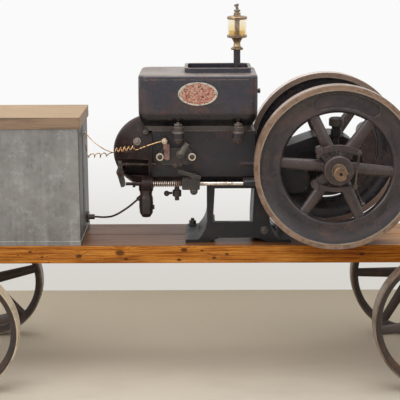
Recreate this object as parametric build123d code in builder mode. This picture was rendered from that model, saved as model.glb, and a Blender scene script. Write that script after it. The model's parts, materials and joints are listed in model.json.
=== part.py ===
"""A hit-and-miss engine on its four-wheeled truck.

Millimetres, +Z up. The origin is on the floor under the middle of the deck, and the
crankshaft runs along Y. The near side is the one with the push rod, at negative Y.
"""
import math
import os

from build123d import *

os.makedirs("parts", exist_ok=True)

# Truck
deck_length = 1940
deck_half_width = 149
deck_thickness = 57
deck_top_z = 430
plank_gap = 2
plank_edge_radius = 3
bolster_length = 100
bolster_half_width = 138
bolster_edge_depth = 30
bolster_taper = 26
rear_wheel_radius = 222
front_wheel_radius = 197
rear_axle_x = 741
front_axle_x = -760
half_track = 282
tread_width = 50
tread_thickness = 9
tread_crown = 2
wheel_rib_depth = 17
wheel_rib_thickness = 12
wheel_hub_radius = 38
wheel_hub_taper = 8
wheel_hub_length = 96
cart_spoke_root = (19, 11)
cart_spoke_tip = (15, 8)
spoke_count = 6
spindle_radius = 14
spindle_end = 6
axle_bar = 36
axle_bar_chamfer = 3
collar_radius = 25
collar_length = 9
axle_block_length = 90
axle_block_half_width = 128
axle_block_height = 84
king_pin_radius = 11
king_pin_reach = 30
turntable_radius = 88
turntable_thickness = 8

# Crank and flywheels
crank_x = 410
crank_height = 254
shaft_radius = 22
shaft_end_radius = 21
shaft_half_length = 300
shaft_end_chamfer = 1.5
flywheel_radius = 254
flywheel_rim_width = 50
flywheel_centre_y = 179.5
rim_inner_radius = 168
rim_web_half = 13
machined_ring = 17
ring_step = 2
dish_run = 32
flywheel_hub_wall = 23
hub_outer_reach = 67.5
hub_inner_reach = 35
hub_chamfer = 3
flywheel_spoke_root = (20, 13)
flywheel_spoke_tip = (16, 10)
first_spoke_angle = -5
pocket_radius = 206
pocket_width = 44
pocket_depth = 6
pocket_start = 59
pocket_sweep = 46
counterweight_inner = 114
counterweight_width = 60
counterweight_depth = 32
counterweight_taper = 6
counterweight_start = -56
counterweight_sweep = 80
keyway_width = 10
keyway_depth = 5
keyway_length = 42
keyway_angle = -16

# Governor, measured from the crank's axis
governor_y = -212
governor_bar_thickness = 12
governor_pin_radius = 5.5
governor_boss_radius = 11
governor_arm_width = 22
link_pin_radius = 4
link_eye_radius = 9
link_thickness = 4
link_width = 6
upper_pivot = (-55, 54)
lower_pivot = (-66, -50)
governor_span = (118, -4)

# Engine base
base_height = 182
base_half_width = 110
base_top_half_width = 92
left_leg_x = 13
right_leg_x = 211
left_leg_width = 25
right_leg_width = 55
leg_straight_height = 100
leg_flare = 28
foot_reach = 68
foot_thickness = 11
foot_edge = 8
foot_slope = 3
window_height = 105
window_head = 11
window_lean = 6
rail_rise = 15
rail_wall = 20
arch_inset = 40

# Cylinder block, with its lugs for the hopper's bolts
block_left_x = -157
block_right_x = 163
block_half_width = 95
block_height = 174
block_skirt = 28
lug_x = (-76, 109)
lug_y = 128
lug_radius = 18
lug_depth = 21
bolt_radius = 6
bolt_reach = 17
nut_radius = 12
nut_height = 12
ledge_x = 141
ledge_length = 50
ledge_drop = 106
ledge_height = 9
ledge_depth = 8

# Head
cylinder_rise = 94
head_depth = 128
head_radius = 119
head_rib_length = 116
head_rib_height = 23
head_rib_reach = 105
recess_length = 112
recess_height = 56
recess_top_drop = 8
recess_floor_y = -40
pivot_boss_radius = 13

# Water hopper
hopper_x = -14
hopper_length = 368
hopper_half_width = 133
hopper_height = 176
hopper_shoulder_rise = 63
hopper_shoulder_steps = ((0, 1), (0.12, 0.80), (0.30, 0.52), (0.50, 0.20), (0.73, 0.04), (1, 0))
hopper_neck_length = 337
hopper_neck_half_width = 100
hopper_flange = 14
hopper_wall = 8
hopper_corner = 30
top_plate = 14
top_plate_round = 10
filler_x = 48
filler_length = 208
filler_half_width = 85
filler_corner = 26
filler_lip_height = 16
filler_lip_wall = 10
name_plate_size = (61, 36)
name_plate_thickness = 2.5
name_plate_drop = 58

# Oiler
oiler_x = 109
oiler_pipe_radius = 10.5
oiler_pipe_wall = 3
oiler_rise = 66
oiler_cap_radius = 32
glass_radius = 29
glass_wall = 3
glass_height = 47
feed_radius = 8
toggle_thickness = 5
toggle_height = 15
toggle_pin_radius = 2

# Push rod, rocker and valve
rod_y = -118
rod_rise = 9.5
rod_radius = 6.5
rod_tip_x = -240.5
rod_end_x = 245
rod_tip_radius = 5
rod_tip_length = 22
rod_collar_radius = 11
rod_collar_length = 8
rod_guide_radius = 14
left_guide_start = -190
left_guide_length = 32
right_guide_start = 126
guide_web_height = 20
rocker_x = -257
rocker_pivot_rise = 34.5
rocker_thickness = 14
rocker_boss_radius = 11
rocker_pin_radius = 5
valve_y = -101
valve_rise = 24
valve_stem_radius = 4.5
valve_stem_end_x = -146
valve_travel = 6
valve_keeper_radius = 7.5
valve_lash = 0.5
spring_radius = 10.5
trip_block_x = -65
trip_block_length = 56
trip_block_size = 34
trip_finger_reach = 74
trip_finger_width = 11
trip_post_width = 14
trip_finger_slope = 17
trip_finger_offset = 13
trip_finger_thickness = 7

# Igniter and drain cock
igniter_x = -83
igniter_half_length = 64
igniter_half_height = 26
igniter_thickness = 12
igniter_bolt_x = (-133, -33)
terminal_x = -111
terminal_width = 16
terminal_height = 52
cock_x = -82
cock_y = -56
cock_radius = 14
cock_drop = 33
cock_stem_radius = 4
cock_knob_radius = 9

# Crankcase and bearings
case_half_width = 64
case_right_x = 506
case_nose_drop = 4
case_neck_length = 17
case_neck_rise = 32
case_brow = (-140, 48)
case_hump = (-64, 76)
case_crown = (-20, 81)
case_shoulder = (70, 51)
case_belly = (60, -84)
case_sump = (-10, -112)
case_heel = (-150, -118)
case_foot_drop = 12
pedestal_reach = 128
pedestal_length = 116
pedestal_height = 84
cover_x = 285
cover_length = 96
cover_height = 74
cover_corner = 30
cover_proud = 4
cap_radius = 42
cap_flange = 14
cup_radius = 22
cup_height = 59
cup_y = 90
cup_offset = 6

# Mixer and fuel pipe
mixer_x = -181
mixer_y = -40
mixer_boss_radius = 23
mixer_height = 89
mixer_top_drop = 27
mixer_profile = ((21, 89), (19, 76), (22, 64), (23, 39), (21, 16), (13, 3))
mixer_port_drop = 55
mixer_port_radius = 7
fuel_pipe_radius = 3.2
fuel_start_drop = 30
fuel_pipe_rise = 46
fuel_pipe_y = 60
fuel_plan = ((-208, -38), (-238, -25), (-273, -2), (-296, 18), (-326, 42))
fuel_rises = (28, 24, 10, 2)
fuel_last_run = 32
fuel_nut_run = 12
pipe_flange = 34
pipe_flange_thickness = 8
pipe_nut_radius = 9
pipe_nut_length = 18

# Battery box
box_right_x = -382
box_length = 478
box_half_width = 145
box_height = 369
box_wall = 3
box_corner = 4
box_band_height = 14
box_band_proud = 2
lid_thickness = 36
lid_overhang = 5
lid_corner = 4
batten_depth = 16
batten_width = 30
batten_inset = 60
batten_clearance = 4
clip_reach = 9
clip_width = 26
clip_height = 9
clip_y = -40
clip_drop = 29

# Ignition wires
wire_radius = 1.3
pigtail_radius = 8.5

# Clearances
running = 0.06
free_gap = 0.5
seat = 0.3

# Levels that follow from the sizes above
deck_under_z = deck_top_z - deck_thickness
crank_z = deck_top_z + crank_height
base_top_z = deck_top_z + base_height
block_top_z = base_top_z + block_height
cylinder_z = base_top_z + cylinder_rise
rod_z = base_top_z + rod_rise
rocker_pivot_z = rod_z + rocker_pivot_rise
valve_z = rocker_pivot_z + valve_rise
hopper_top_z = block_top_z + hopper_height
box_top_z = deck_top_z + box_height

pieces = {}


def level(z):
    """A horizontal plane at a height."""
    return Plane.XY.offset(z)


def side_plane(y, x=0, z=0):
    """A plane facing the near side, with its own origin at x, z."""
    return Plane(origin=(x, y, z), x_dir=(1, 0, 0), z_dir=(0, -1, 0))


def cross_plane(x, y=0, z=0):
    """A plane across the engine, with local x along Y and local y along Z."""
    return Plane(origin=(x, y, z), x_dir=(0, 1, 0), z_dir=(1, 0, 0))


def radial_plane(centre, angle, distance):
    """A plane square to a spoke: local x is in the wheel's plane, local y along Y."""
    a = math.radians(angle)
    out = Vector(math.cos(a), 0, math.sin(a))
    return Plane(origin=Vector(*centre) + out * distance, x_dir=(-out.Z, 0, out.X), z_dir=out)


def on_circle(radius, angle):
    """The point of a circle at an angle in degrees."""
    a = math.radians(angle)
    return (radius * math.cos(a), radius * math.sin(a))


def shift(point, move):
    """A point moved by a pair of distances."""
    return (point[0] + move[0], point[1] + move[1])


def spun(centre, outline):
    """Revolve an outline of (radius, y) points about the wheel's own axis."""
    with BuildSketch(Plane.XY.move(Location(centre))) as profile:
        with BuildLine():
            Polyline(*outline, close=True)
        make_face()
    revolve(profile.sketch, axis=Axis(centre, (0, 1, 0)))


def spun_up(x, y, z, outline):
    """Revolve an outline of (radius, height above z) points about a vertical axis."""
    with BuildSketch(side_plane(y, x, z)) as profile:
        with BuildLine():
            Polyline(*outline, close=True)
        make_face()
    revolve(profile.sketch, axis=Axis((x, y, z), (0, 0, 1)))


def spokes(centre, first, inner, outer, inner_size, outer_size):
    """Tapered oval spokes between two radii."""
    for k in range(spoke_count):
        angle = first + k * 360 / spoke_count
        with BuildSketch(radial_plane(centre, angle, inner)) as root:
            Ellipse(*inner_size)
        with BuildSketch(radial_plane(centre, angle, outer)) as tip:
            Ellipse(*outer_size)
        loft([root.sketch, tip.sketch])


def rod(plane, radius, length, mode=Mode.ADD):
    """A round bar or bore that starts on a plane."""
    with BuildSketch(plane) as section:
        Circle(radius)
    extrude(section.sketch, amount=length, mode=mode)


def hex_nut(plane, radius, height):
    """A nut or bolt head that sits on a plane."""
    with BuildSketch(plane) as section:
        RegularPolygon(radius, 6)
    extrude(section.sketch, amount=height)


def cart_wheel(name, x, y, radius, first_angle):
    """A cast wheel with a ribbed tread, six oval spokes and a barrel hub."""
    centre = (x, y, radius)
    half = tread_width / 2
    tread_inner = radius - tread_thickness
    rib_inner = tread_inner - wheel_rib_depth
    rib_half = wheel_rib_thickness / 2
    hub_end = wheel_hub_radius - wheel_hub_taper
    hub_half = wheel_hub_length / 2
    bore = spindle_radius + running
    with BuildPart() as wheel:
        spun(centre, [
            (radius, -half), (radius, half), (tread_inner + tread_crown, half),
            (tread_inner - tread_crown, rib_half * 1.5), (rib_inner, rib_half), (rib_inner, -rib_half),
            (tread_inner - tread_crown, -rib_half * 1.5), (tread_inner + tread_crown, -half)])
        spokes(centre, first_angle, hub_end, rib_inner + tread_thickness / 2, cart_spoke_root, cart_spoke_tip)
        spun(centre, [
            (bore / 2, -hub_half), (hub_end, -hub_half), (wheel_hub_radius, -hub_half / 2),
            (wheel_hub_radius, hub_half / 2), (hub_end, hub_half), (bore / 2, hub_half)])
        rod(side_plane(y + hub_half + 1, x, radius), bore, wheel_hub_length + 2, Mode.SUBTRACT)
    pieces[name] = wheel


def axle(name, x, z, plate_z=None):
    """A square axle bar with round spindles, end collars and, on the front one, the turntable plate."""
    hub_half = wheel_hub_length / 2
    shoulder_y = half_track - hub_half - 4 * free_gap
    collar_y = half_track + hub_half + free_gap
    end_y = collar_y + collar_length + spindle_end
    with BuildPart() as bar:
        with Locations((x, 0, z)):
            Box(axle_bar, 2 * shoulder_y, axle_bar)
        chamfer(bar.edges().filter_by(Axis.Y), axle_bar_chamfer)
        rod(side_plane(end_y, x, z), spindle_radius, 2 * end_y)
        rod(side_plane(-collar_y, x, z), collar_radius, collar_length)
        rod(side_plane(collar_y + collar_length, x, z), collar_radius, collar_length)
        if plate_z:
            with BuildSketch(level(plate_z)):
                with Locations((x, 0)):
                    Circle(turntable_radius)
                    Circle(king_pin_radius + running, mode=Mode.SUBTRACT)
            extrude(amount=turntable_thickness)
    pieces[name] = bar


# The deck: two long planks side by side, with a bolster over each axle.
plank_width = deck_half_width - plank_gap / 2
block_bottom_z = front_wheel_radius + axle_bar / 2
plate_z = block_bottom_z + axle_block_height
front_bolster_z = plate_z + 2 * turntable_thickness + free_gap
rear_bolster_z = rear_wheel_radius + axle_bar / 2
with BuildPart() as deck:
    with BuildSketch(level(deck_under_z)):
        with GridLocations(0, plank_width + plank_gap, 1, 2):
            Rectangle(deck_length, plank_width)
    extrude(amount=deck_thickness)
    fillet(deck.edges().filter_by(Axis.X), plank_edge_radius)
pieces["deck_planks"] = deck

with BuildPart() as bolsters:
    bolster_foot = bolster_half_width - bolster_taper
    edge_z = deck_under_z - bolster_edge_depth
    for x, bottom in ((rear_axle_x, rear_bolster_z), (front_axle_x, front_bolster_z)):
        with BuildSketch(cross_plane(x - bolster_length / 2)):
            with BuildLine():
                Polyline(
                    (-bolster_half_width, deck_under_z), (bolster_half_width, deck_under_z),
                    (bolster_half_width, edge_z), (bolster_foot, bottom),
                    (-bolster_foot, bottom), (-bolster_half_width, edge_z), close=True)
            make_face()
        extrude(amount=bolster_length)
    rod(level(front_bolster_z).move(Location((front_axle_x, 0, 0))), king_pin_radius, king_pin_reach, Mode.SUBTRACT)
pieces["bolsters"] = bolsters

axle("rear_axle", rear_axle_x, rear_wheel_radius)
cart_wheel("rear_wheel_near", rear_axle_x, -half_track, rear_wheel_radius, 8)
cart_wheel("rear_wheel_far", rear_axle_x, half_track, rear_wheel_radius, 0)

# The front axle turns on a king pin under two bearing plates.
with BuildPart() as axle_block:
    with BuildSketch(level(block_bottom_z)):
        with Locations((front_axle_x, 0)):
            Rectangle(axle_block_length, 2 * axle_block_half_width)
            Circle(king_pin_radius + 2 * free_gap, mode=Mode.SUBTRACT)
    extrude(amount=axle_block_height)
    chamfer(axle_block.edges().filter_by(Axis.Y), axle_bar_chamfer)
pieces["axle_block"] = axle_block

with BuildPart() as king_pin:
    with BuildSketch(level(front_bolster_z)):
        with Locations((front_axle_x, 0)):
            Circle(turntable_radius)
    extrude(amount=-turntable_thickness)
    with BuildSketch(level(block_bottom_z + 6 * running)):
        with Locations((front_axle_x, 0)):
            Circle(king_pin_radius)
    extrude(amount=front_bolster_z + king_pin_reach - block_bottom_z - 6 * running)
pieces["king_pin"] = king_pin

axle("front_axle", front_axle_x, front_wheel_radius, plate_z)
cart_wheel("front_wheel_near", front_axle_x, -half_track, front_wheel_radius, 14)
cart_wheel("front_wheel_far", front_axle_x, half_track, front_wheel_radius, 14)

# The base: two flared end walls with feet, joined by an arched rail on the near side and a
# low strip on the far one.
with BuildPart() as base:
    left_foot = left_leg_x - foot_reach
    right_foot = right_leg_x + foot_reach
    foot_top = deck_top_z + foot_thickness
    leg_z = base_top_z - leg_straight_height
    flare_z = foot_top + (leg_z - foot_top) * 0.42
    with BuildSketch(side_plane(base_half_width)):
        with BuildLine():
            Polyline((left_leg_x, leg_z), (left_leg_x, base_top_z), (right_leg_x, base_top_z), (right_leg_x, leg_z))
            ThreePointArc((right_leg_x, leg_z), (right_leg_x + leg_flare / 4, flare_z),
                          (right_leg_x + leg_flare, foot_top))
            Polyline((right_leg_x + leg_flare, foot_top), (right_foot - foot_edge, foot_top),
                     (right_foot, foot_top - foot_slope), (right_foot, deck_top_z), (left_foot, deck_top_z),
                     (left_foot, foot_top - foot_slope), (left_foot + foot_edge, foot_top),
                     (left_leg_x - leg_flare, foot_top))
            ThreePointArc((left_leg_x - leg_flare, foot_top), (left_leg_x - leg_flare / 4, flare_z),
                          (left_leg_x, leg_z))
        make_face()
    extrude(amount=2 * base_half_width)
    with BuildSketch(cross_plane(left_foot)):
        with BuildLine():
            Polyline((-base_half_width, deck_top_z), (-base_half_width, deck_top_z + rail_rise),
                     (-base_top_half_width, base_top_z), (base_top_half_width, base_top_z),
                     (base_half_width, deck_top_z + rail_rise), (base_half_width, deck_top_z), close=True)
        make_face()
    extrude(amount=right_foot - left_foot, mode=Mode.INTERSECT)
    window_left = left_leg_x + left_leg_width
    window_right = right_leg_x - right_leg_width
    window_top_z = base_top_z - window_head
    window_bottom_z = window_top_z - window_height
    with BuildSketch(side_plane(base_half_width)):
        with BuildLine():
            Polyline((window_left, window_top_z), (window_right + window_lean, window_top_z),
                     (window_right, window_bottom_z), (window_left - window_lean, window_bottom_z), close=True)
        make_face()
    extrude(amount=2 * base_half_width, mode=Mode.SUBTRACT)
    with BuildSketch(side_plane(0)):
        with BuildLine():
            Polyline((left_leg_x, deck_top_z), (left_leg_x + arch_inset, deck_top_z + rail_rise),
                     (right_leg_x - arch_inset, deck_top_z + rail_rise), (right_leg_x, deck_top_z), close=True)
        make_face()
    extrude(amount=base_half_width, mode=Mode.SUBTRACT)
    with BuildSketch(side_plane(base_half_width)):
        with BuildLine():
            Polyline((window_left - window_lean, foot_top), (window_left - window_lean, window_bottom_z),
                     (window_right, window_bottom_z), (window_right, foot_top), close=True)
        make_face()
    extrude(amount=base_half_width, mode=Mode.SUBTRACT)
    with BuildSketch(level(deck_top_z)):
        with Locations(((window_left + window_right) / 2, 0)):
            Rectangle(window_right - window_left, 2 * (base_half_width - rail_wall))
    extrude(amount=window_bottom_z - deck_top_z, mode=Mode.SUBTRACT)
pieces["engine_base"] = base


def rod_guide(start_x, length, web):
    """A cast boss round the push rod, with a web that reaches in to its casting."""
    with BuildSketch(cross_plane(start_x, rod_y, rod_z)) as boss:
        Circle(rod_guide_radius)
        with Locations((web / 2, guide_web_height / 5)):
            Rectangle(web, guide_web_height)
    extrude(boss.sketch, amount=length)
    rod(cross_plane(start_x - 1, rod_y, rod_z), rod_radius + running, length + 2, Mode.SUBTRACT)


def valve_bore(start_x, end_x):
    """The bore that the valve stem slides in."""
    rod(cross_plane(start_x, valve_y, valve_z), valve_stem_radius + running, end_x - start_x, Mode.SUBTRACT)


def lug_outline(radius, wall):
    """Lugs in plan: a round end over each bolt, run in to a wall."""
    for x in lug_x:
        for side in (-1, 1):
            with Locations((x, side * lug_y)):
                Circle(radius)
            with Locations((x, side * (lug_y + wall) / 2)):
                Rectangle(2 * radius, lug_y - wall)


# The cylinder block, with the four lugs that take the hopper's bolts.
with BuildPart() as block:
    skirt_z = base_top_z + block_skirt
    skirt_y = block_half_width - block_skirt
    with BuildSketch(cross_plane(block_left_x)):
        with BuildLine():
            Polyline((-block_half_width, skirt_z), (-block_half_width, block_top_z),
                     (block_half_width, block_top_z), (block_half_width, skirt_z),
                     (skirt_y, base_top_z), (-skirt_y, base_top_z), close=True)
        make_face()
    extrude(amount=block_right_x - block_left_x)
    with BuildSketch(level(block_top_z - lug_depth)) as block_lugs:
        lug_outline(lug_radius, block_half_width - hopper_wall)
    extrude(amount=lug_depth)
    with BuildSketch(side_plane(-block_half_width)):
        with Locations((ledge_x, block_top_z - ledge_drop)):
            Rectangle(ledge_length, ledge_height)
    extrude(amount=ledge_depth, taper=20)
    for x in lug_x:
        for side in (-1, 1):
            rod(level(block_top_z).move(Location((x, side * lug_y, 0))), bolt_radius, -2 * lug_depth, Mode.SUBTRACT)
    valve_bore(block_left_x - 1, valve_stem_end_x + valve_travel + 4 * free_gap)
    rod_guide(right_guide_start, block_right_x - right_guide_start, 2 * rod_guide_radius)
pieces["cylinder_block"] = block

# The water hopper: a cast shell with a rounded shoulder and its own top plate.
wall_top_z = hopper_top_z - top_plate
flange_top_z = block_top_z + hopper_flange
floor_z = flange_top_z + hopper_wall
shoulder_z = block_top_z + hopper_shoulder_rise


def hopper_section(z, length, half_width, corner):
    """A rounded rectangle across the hopper at a height."""
    with BuildSketch(level(z)) as section:
        with Locations((hopper_x, 0)):
            RectangleRounded(length, 2 * half_width, corner)
    return section.sketch


neck = (hopper_neck_length, hopper_neck_half_width, hopper_corner - hopper_wall / 2)
full = (hopper_length, hopper_half_width, hopper_corner)
walls = (2 * hopper_wall, hopper_wall, hopper_wall)


def hopper_body(bottom_z, thinner):
    """The rounded shoulder's sections from the neck up, then the straight body."""
    sections = []
    for rise, share in hopper_shoulder_steps:
        sizes = [big - share * (big - small) - less for big, small, less in zip(full, neck, thinner)]
        sections.append((bottom_z + rise * (shoulder_z - flange_top_z), sizes))
    return [hopper_section(z, *sizes) for z, sizes in sections], sections[-1]


with BuildPart() as hopper:
    extrude(hopper_section(block_top_z, *neck), amount=hopper_flange)
    outside, (outer_z, outer) = hopper_body(flange_top_z, (0, 0, 0))
    loft(outside)
    extrude(hopper_section(outer_z, *outer), amount=wall_top_z - outer_z)
    inside, (inner_z, inner) = hopper_body(floor_z, walls)
    loft(inside, mode=Mode.SUBTRACT)
    extrude(hopper_section(inner_z, *inner), amount=wall_top_z - inner_z, mode=Mode.SUBTRACT)
    with BuildSketch(level(block_top_z)) as hopper_lugs:
        lug_outline(lug_radius - 1, hopper_neck_half_width - hopper_wall)
    extrude(amount=hopper_flange)
    for x in lug_x:
        for side in (-1, 1):
            rod(level(block_top_z).move(Location((x, side * lug_y, 0))), bolt_radius, 2 * lug_depth, Mode.SUBTRACT)
pieces["water_hopper"] = hopper

with BuildPart() as hopper_top:
    extrude(hopper_section(wall_top_z, *full), amount=top_plate)
    fillet(hopper_top.faces().sort_by(Axis.Z)[-1].edges(), top_plate_round)
    with BuildSketch(level(hopper_top_z - free_gap)):
        with Locations((filler_x, 0)):
            RectangleRounded(filler_length, 2 * filler_half_width, filler_corner)
    extrude(amount=filler_lip_height + free_gap)
    with BuildSketch(level(wall_top_z)):
        with Locations((filler_x, 0)):
            RectangleRounded(filler_length - 2 * filler_lip_wall, 2 * (filler_half_width - filler_lip_wall),
                             filler_corner - filler_lip_wall)
    extrude(amount=top_plate + filler_lip_height, mode=Mode.SUBTRACT)
pieces["hopper_top"] = hopper_top

with BuildPart() as hopper_bolts:
    for x in lug_x:
        for side in (-1, 1):
            bolt_place = Location((x, side * lug_y, 0))
            rod(level(block_top_z - lug_depth - bolt_reach).move(bolt_place), bolt_radius,
                lug_depth + hopper_flange + 2 * bolt_reach)
            hex_nut(level(flange_top_z).move(bolt_place), nut_radius, nut_height)
            hex_nut(level(block_top_z - lug_depth).move(bolt_place), nut_radius - 1, 2 * nut_height / 3 - nut_height)
pieces["hopper_bolts"] = hopper_bolts

with BuildPart() as name_plate:
    with BuildSketch(side_plane(-hopper_half_width, hopper_x, hopper_top_z - name_plate_drop)):
        Ellipse(*name_plate_size)
    extrude(amount=name_plate_thickness)
    chamfer(name_plate.faces().sort_by(Axis.Y)[0].edges(), name_plate_thickness / 2)
pieces["name_plate"] = name_plate

# The sight-feed oiler on its pipe, which rises from the hopper's floor.
oiler_foot_z = hopper_top_z + oiler_rise
neck_z = oiler_foot_z + 22
glass_z = neck_z + 25
knob_z = glass_z + glass_height + 10
toggle_z = knob_z + 25
ear_reach = 8
with BuildPart() as oiler_body:
    with BuildSketch(level(floor_z)):
        with Locations((oiler_x, 0)):
            Circle(oiler_pipe_radius)
            Circle(oiler_pipe_radius - oiler_pipe_wall, mode=Mode.SUBTRACT)
    extrude(amount=oiler_foot_z - floor_z)
    spun_up(oiler_x, 0, oiler_foot_z, [
        (0, 0), (19, 0), (19, 5), (oiler_pipe_radius, 22), (18, 36), (oiler_cap_radius, 38), (oiler_cap_radius, 47),
        (feed_radius, 47), (feed_radius, 47 + glass_height), (oiler_cap_radius, 47 + glass_height),
        (oiler_cap_radius, 57 + glass_height), (12, 59 + glass_height), (9, 61 + glass_height),
        (11, 67 + glass_height), (6, 70 + glass_height), (10, 71 + glass_height), (10, 77 + glass_height),
        (0, 77 + glass_height)])
    for side in (-1, 1):
        ear_y = side * (toggle_thickness / 2 + free_gap)
        with BuildSketch(side_plane(ear_y, oiler_x, toggle_z - 3)):
            Rectangle(9, 10)
        extrude(amount=-side * 3)
    rod(side_plane(ear_reach, oiler_x, toggle_z), toggle_pin_radius, 2 * ear_reach)
pieces["oiler_body"] = oiler_body

with BuildPart() as oiler_glass:
    with BuildSketch(level(glass_z)):
        with Locations((oiler_x, 0)):
            Circle(glass_radius)
            Circle(glass_radius - glass_wall, mode=Mode.SUBTRACT)
    extrude(amount=glass_height)
pieces["oiler_glass"] = oiler_glass

with BuildPart() as oiler_lever:
    with BuildSketch(side_plane(toggle_thickness / 2, oiler_x, toggle_z)):
        with BuildLine():
            Polyline((-4, 1), (3, 3), (6, toggle_height - 4), (2, toggle_height - 1),
                     (-10, toggle_height - 5), (-9, toggle_height - 9), close=True)
        make_face()
        Circle(2 * toggle_pin_radius)
        Circle(toggle_pin_radius + running, mode=Mode.SUBTRACT)
    extrude(amount=toggle_thickness)
pieces["oiler_lever"] = oiler_lever

# The head: a domed casting with a rib, a recess for the valve gear and the rocker's bracket.
mixer_top_z = base_top_z - mixer_top_drop
rocker_inner_y = rod_y + rocker_thickness / 2
rocker_outer_y = rod_y - rocker_thickness / 2
with BuildPart() as head:
    with BuildSketch(side_plane(0, block_left_x, cylinder_z)):
        with BuildLine():
            EllipticalCenterArc((0, 0), head_depth, head_radius, start_angle=90, arc_size=90)
            Polyline((-head_depth, 0), (0, 0), (0, head_radius))
        make_face()
    revolve(axis=Axis((block_left_x, 0, cylinder_z), (1, 0, 0)))
    recess_right_x = block_left_x - mixer_boss_radius / 2
    recess_z = cylinder_z - recess_top_drop - recess_height / 2
    with BuildSketch(side_plane(recess_floor_y, recess_right_x - recess_length / 2, recess_z)):
        Rectangle(recess_length, recess_height)
    extrude(amount=head_radius, mode=Mode.SUBTRACT)
    with BuildSketch(level(cylinder_z - recess_top_drop)):
        with BuildLine():
            Polyline((block_left_x, -head_rib_reach / 3), (block_left_x, -head_rib_reach),
                     (block_left_x - head_rib_length * 0.72, -head_rib_reach),
                     (block_left_x - head_rib_length, -head_rib_reach * 0.8),
                     (block_left_x - head_rib_length, -head_rib_reach / 3), close=True)
        make_face()
    extrude(amount=head_rib_height)
    boss_root_y = recess_floor_y + 3
    bracket_plane = side_plane(boss_root_y, rocker_x, rocker_pivot_z)
    rod(bracket_plane, pivot_boss_radius, boss_root_y - rocker_inner_y - free_gap)
    rod(bracket_plane, rocker_pin_radius, boss_root_y - rocker_outer_y + free_gap + 2)
    hex_nut(side_plane(rocker_outer_y - free_gap, rocker_x, rocker_pivot_z), rocker_boss_radius - 2, 6)
    with Locations((block_left_x - head_depth / 6, 0, block_top_z)):
        Box(head_depth / 3 + 2, 2 * hopper_neck_half_width + rail_wall, 4 * free_gap,
            align=(Align.CENTER, Align.CENTER, Align.MAX), mode=Mode.SUBTRACT)
    with Locations((block_left_x - head_depth / 6, 0, block_top_z)):
        Box(head_depth / 3 + 2, 2 * hopper_neck_half_width + rail_wall, head_radius,
            align=(Align.CENTER, Align.CENTER, Align.MIN), mode=Mode.SUBTRACT)
    rod(level(mixer_top_z).move(Location((mixer_x, mixer_y, 0))), mixer_boss_radius, mixer_boss_radius + 17)
    valve_bore(recess_right_x - 1, block_left_x + 1)
    rod_guide(left_guide_start, left_guide_length, 4 * rod_guide_radius)
pieces["cylinder_head"] = head

with BuildPart() as rocker:
    with BuildSketch(side_plane(rocker_inner_y, rocker_x, rocker_pivot_z)):
        with BuildLine():
            Polyline((9, rod_z - rocker_pivot_z - 9.5), (15, rod_z - rocker_pivot_z - 5.5),
                     (15, rod_z - rocker_pivot_z + 6.5), (8, 4), (5, valve_rise + 14), (-6, valve_rise + 14),
                     (-9, -4), (2, rod_z - rocker_pivot_z - 9.5), close=True)
        make_face()
        Circle(rocker_boss_radius)
        Circle(rocker_pin_radius + running, mode=Mode.SUBTRACT)
    extrude(amount=rocker_thickness)
    rod(side_plane(valve_y + 2 * valve_stem_radius, rocker_x, valve_z), rocker_pin_radius + 3,
        valve_y + 2 * valve_stem_radius - rocker_inner_y + 1)
pieces["rocker_arm"] = rocker

# The exhaust valve's stem, which the rocker's pad pushes into the head, and its spring's keeper.
valve_tip_x = rocker_x + rocker_pin_radius + 3 + valve_lash
with BuildPart() as valve_stem:
    rod(cross_plane(valve_tip_x, valve_y, valve_z), valve_stem_radius, valve_stem_end_x - valve_tip_x)
    rod(cross_plane(valve_tip_x + valve_keeper_radius, valve_y, valve_z), valve_keeper_radius, 4)
pieces["valve_stem"] = valve_stem

# The push rod slides in two guides, with its trip block and return spring.
with BuildPart() as push_rod:
    collar_x = rod_tip_x + rod_tip_length
    rod(cross_plane(collar_x, rod_y, rod_z), rod_radius, rod_end_x - collar_x)
    rod(cross_plane(rod_tip_x, rod_y, rod_z), rod_tip_radius, rod_tip_length)
    rod(cross_plane(collar_x, rod_y, rod_z), rod_collar_radius, rod_collar_length)
pieces["push_rod"] = push_rod

trip_block_end = trip_block_x + trip_block_length
trip_screw_x = trip_block_end - trip_block_length / 3
finger_y = rod_y - trip_block_size / 2
with BuildPart() as trip_block:
    with BuildSketch(side_plane(rod_y + trip_block_size / 2)):
        with Locations(((trip_block_x + trip_block_end) / 2, rod_z)):
            RectangleRounded(trip_block_length, trip_block_size, 5)
        with Locations((trip_screw_x, rod_z - trip_block_size / 2 - 4)):
            Circle(nut_radius)
        with Locations((trip_screw_x, rod_z + trip_block_size / 2 + 4)):
            Rectangle(trip_post_width, 20)
    extrude(amount=trip_block_size)
    fillet(trip_block.faces().sort_by(Axis.Y)[0].edges(), 2)
    finger_top_z = rod_z + trip_block_size / 2 + 8
    with BuildSketch(side_plane(finger_y, trip_screw_x, finger_top_z)):
        with Locations(Location((-trip_finger_offset, trip_finger_width / 2 + 2, 0), (0, 0, -trip_finger_slope))):
            SlotOverall(trip_finger_reach, trip_finger_width)
    extrude(amount=trip_finger_thickness)
    rod(cross_plane(trip_block_x - 1, rod_y, rod_z), rod_radius, trip_block_length + 2, Mode.SUBTRACT)
pieces["trip_block"] = trip_block

with BuildPart() as spring:
    spring_start = left_guide_start + left_guide_length + seat
    with BuildSketch(cross_plane(spring_start, rod_y, rod_z)):
        Circle(spring_radius)
        Circle(rod_radius + 3 * free_gap, mode=Mode.SUBTRACT)
    extrude(amount=trip_block_x - seat - spring_start)
pieces["rod_spring"] = spring

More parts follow.
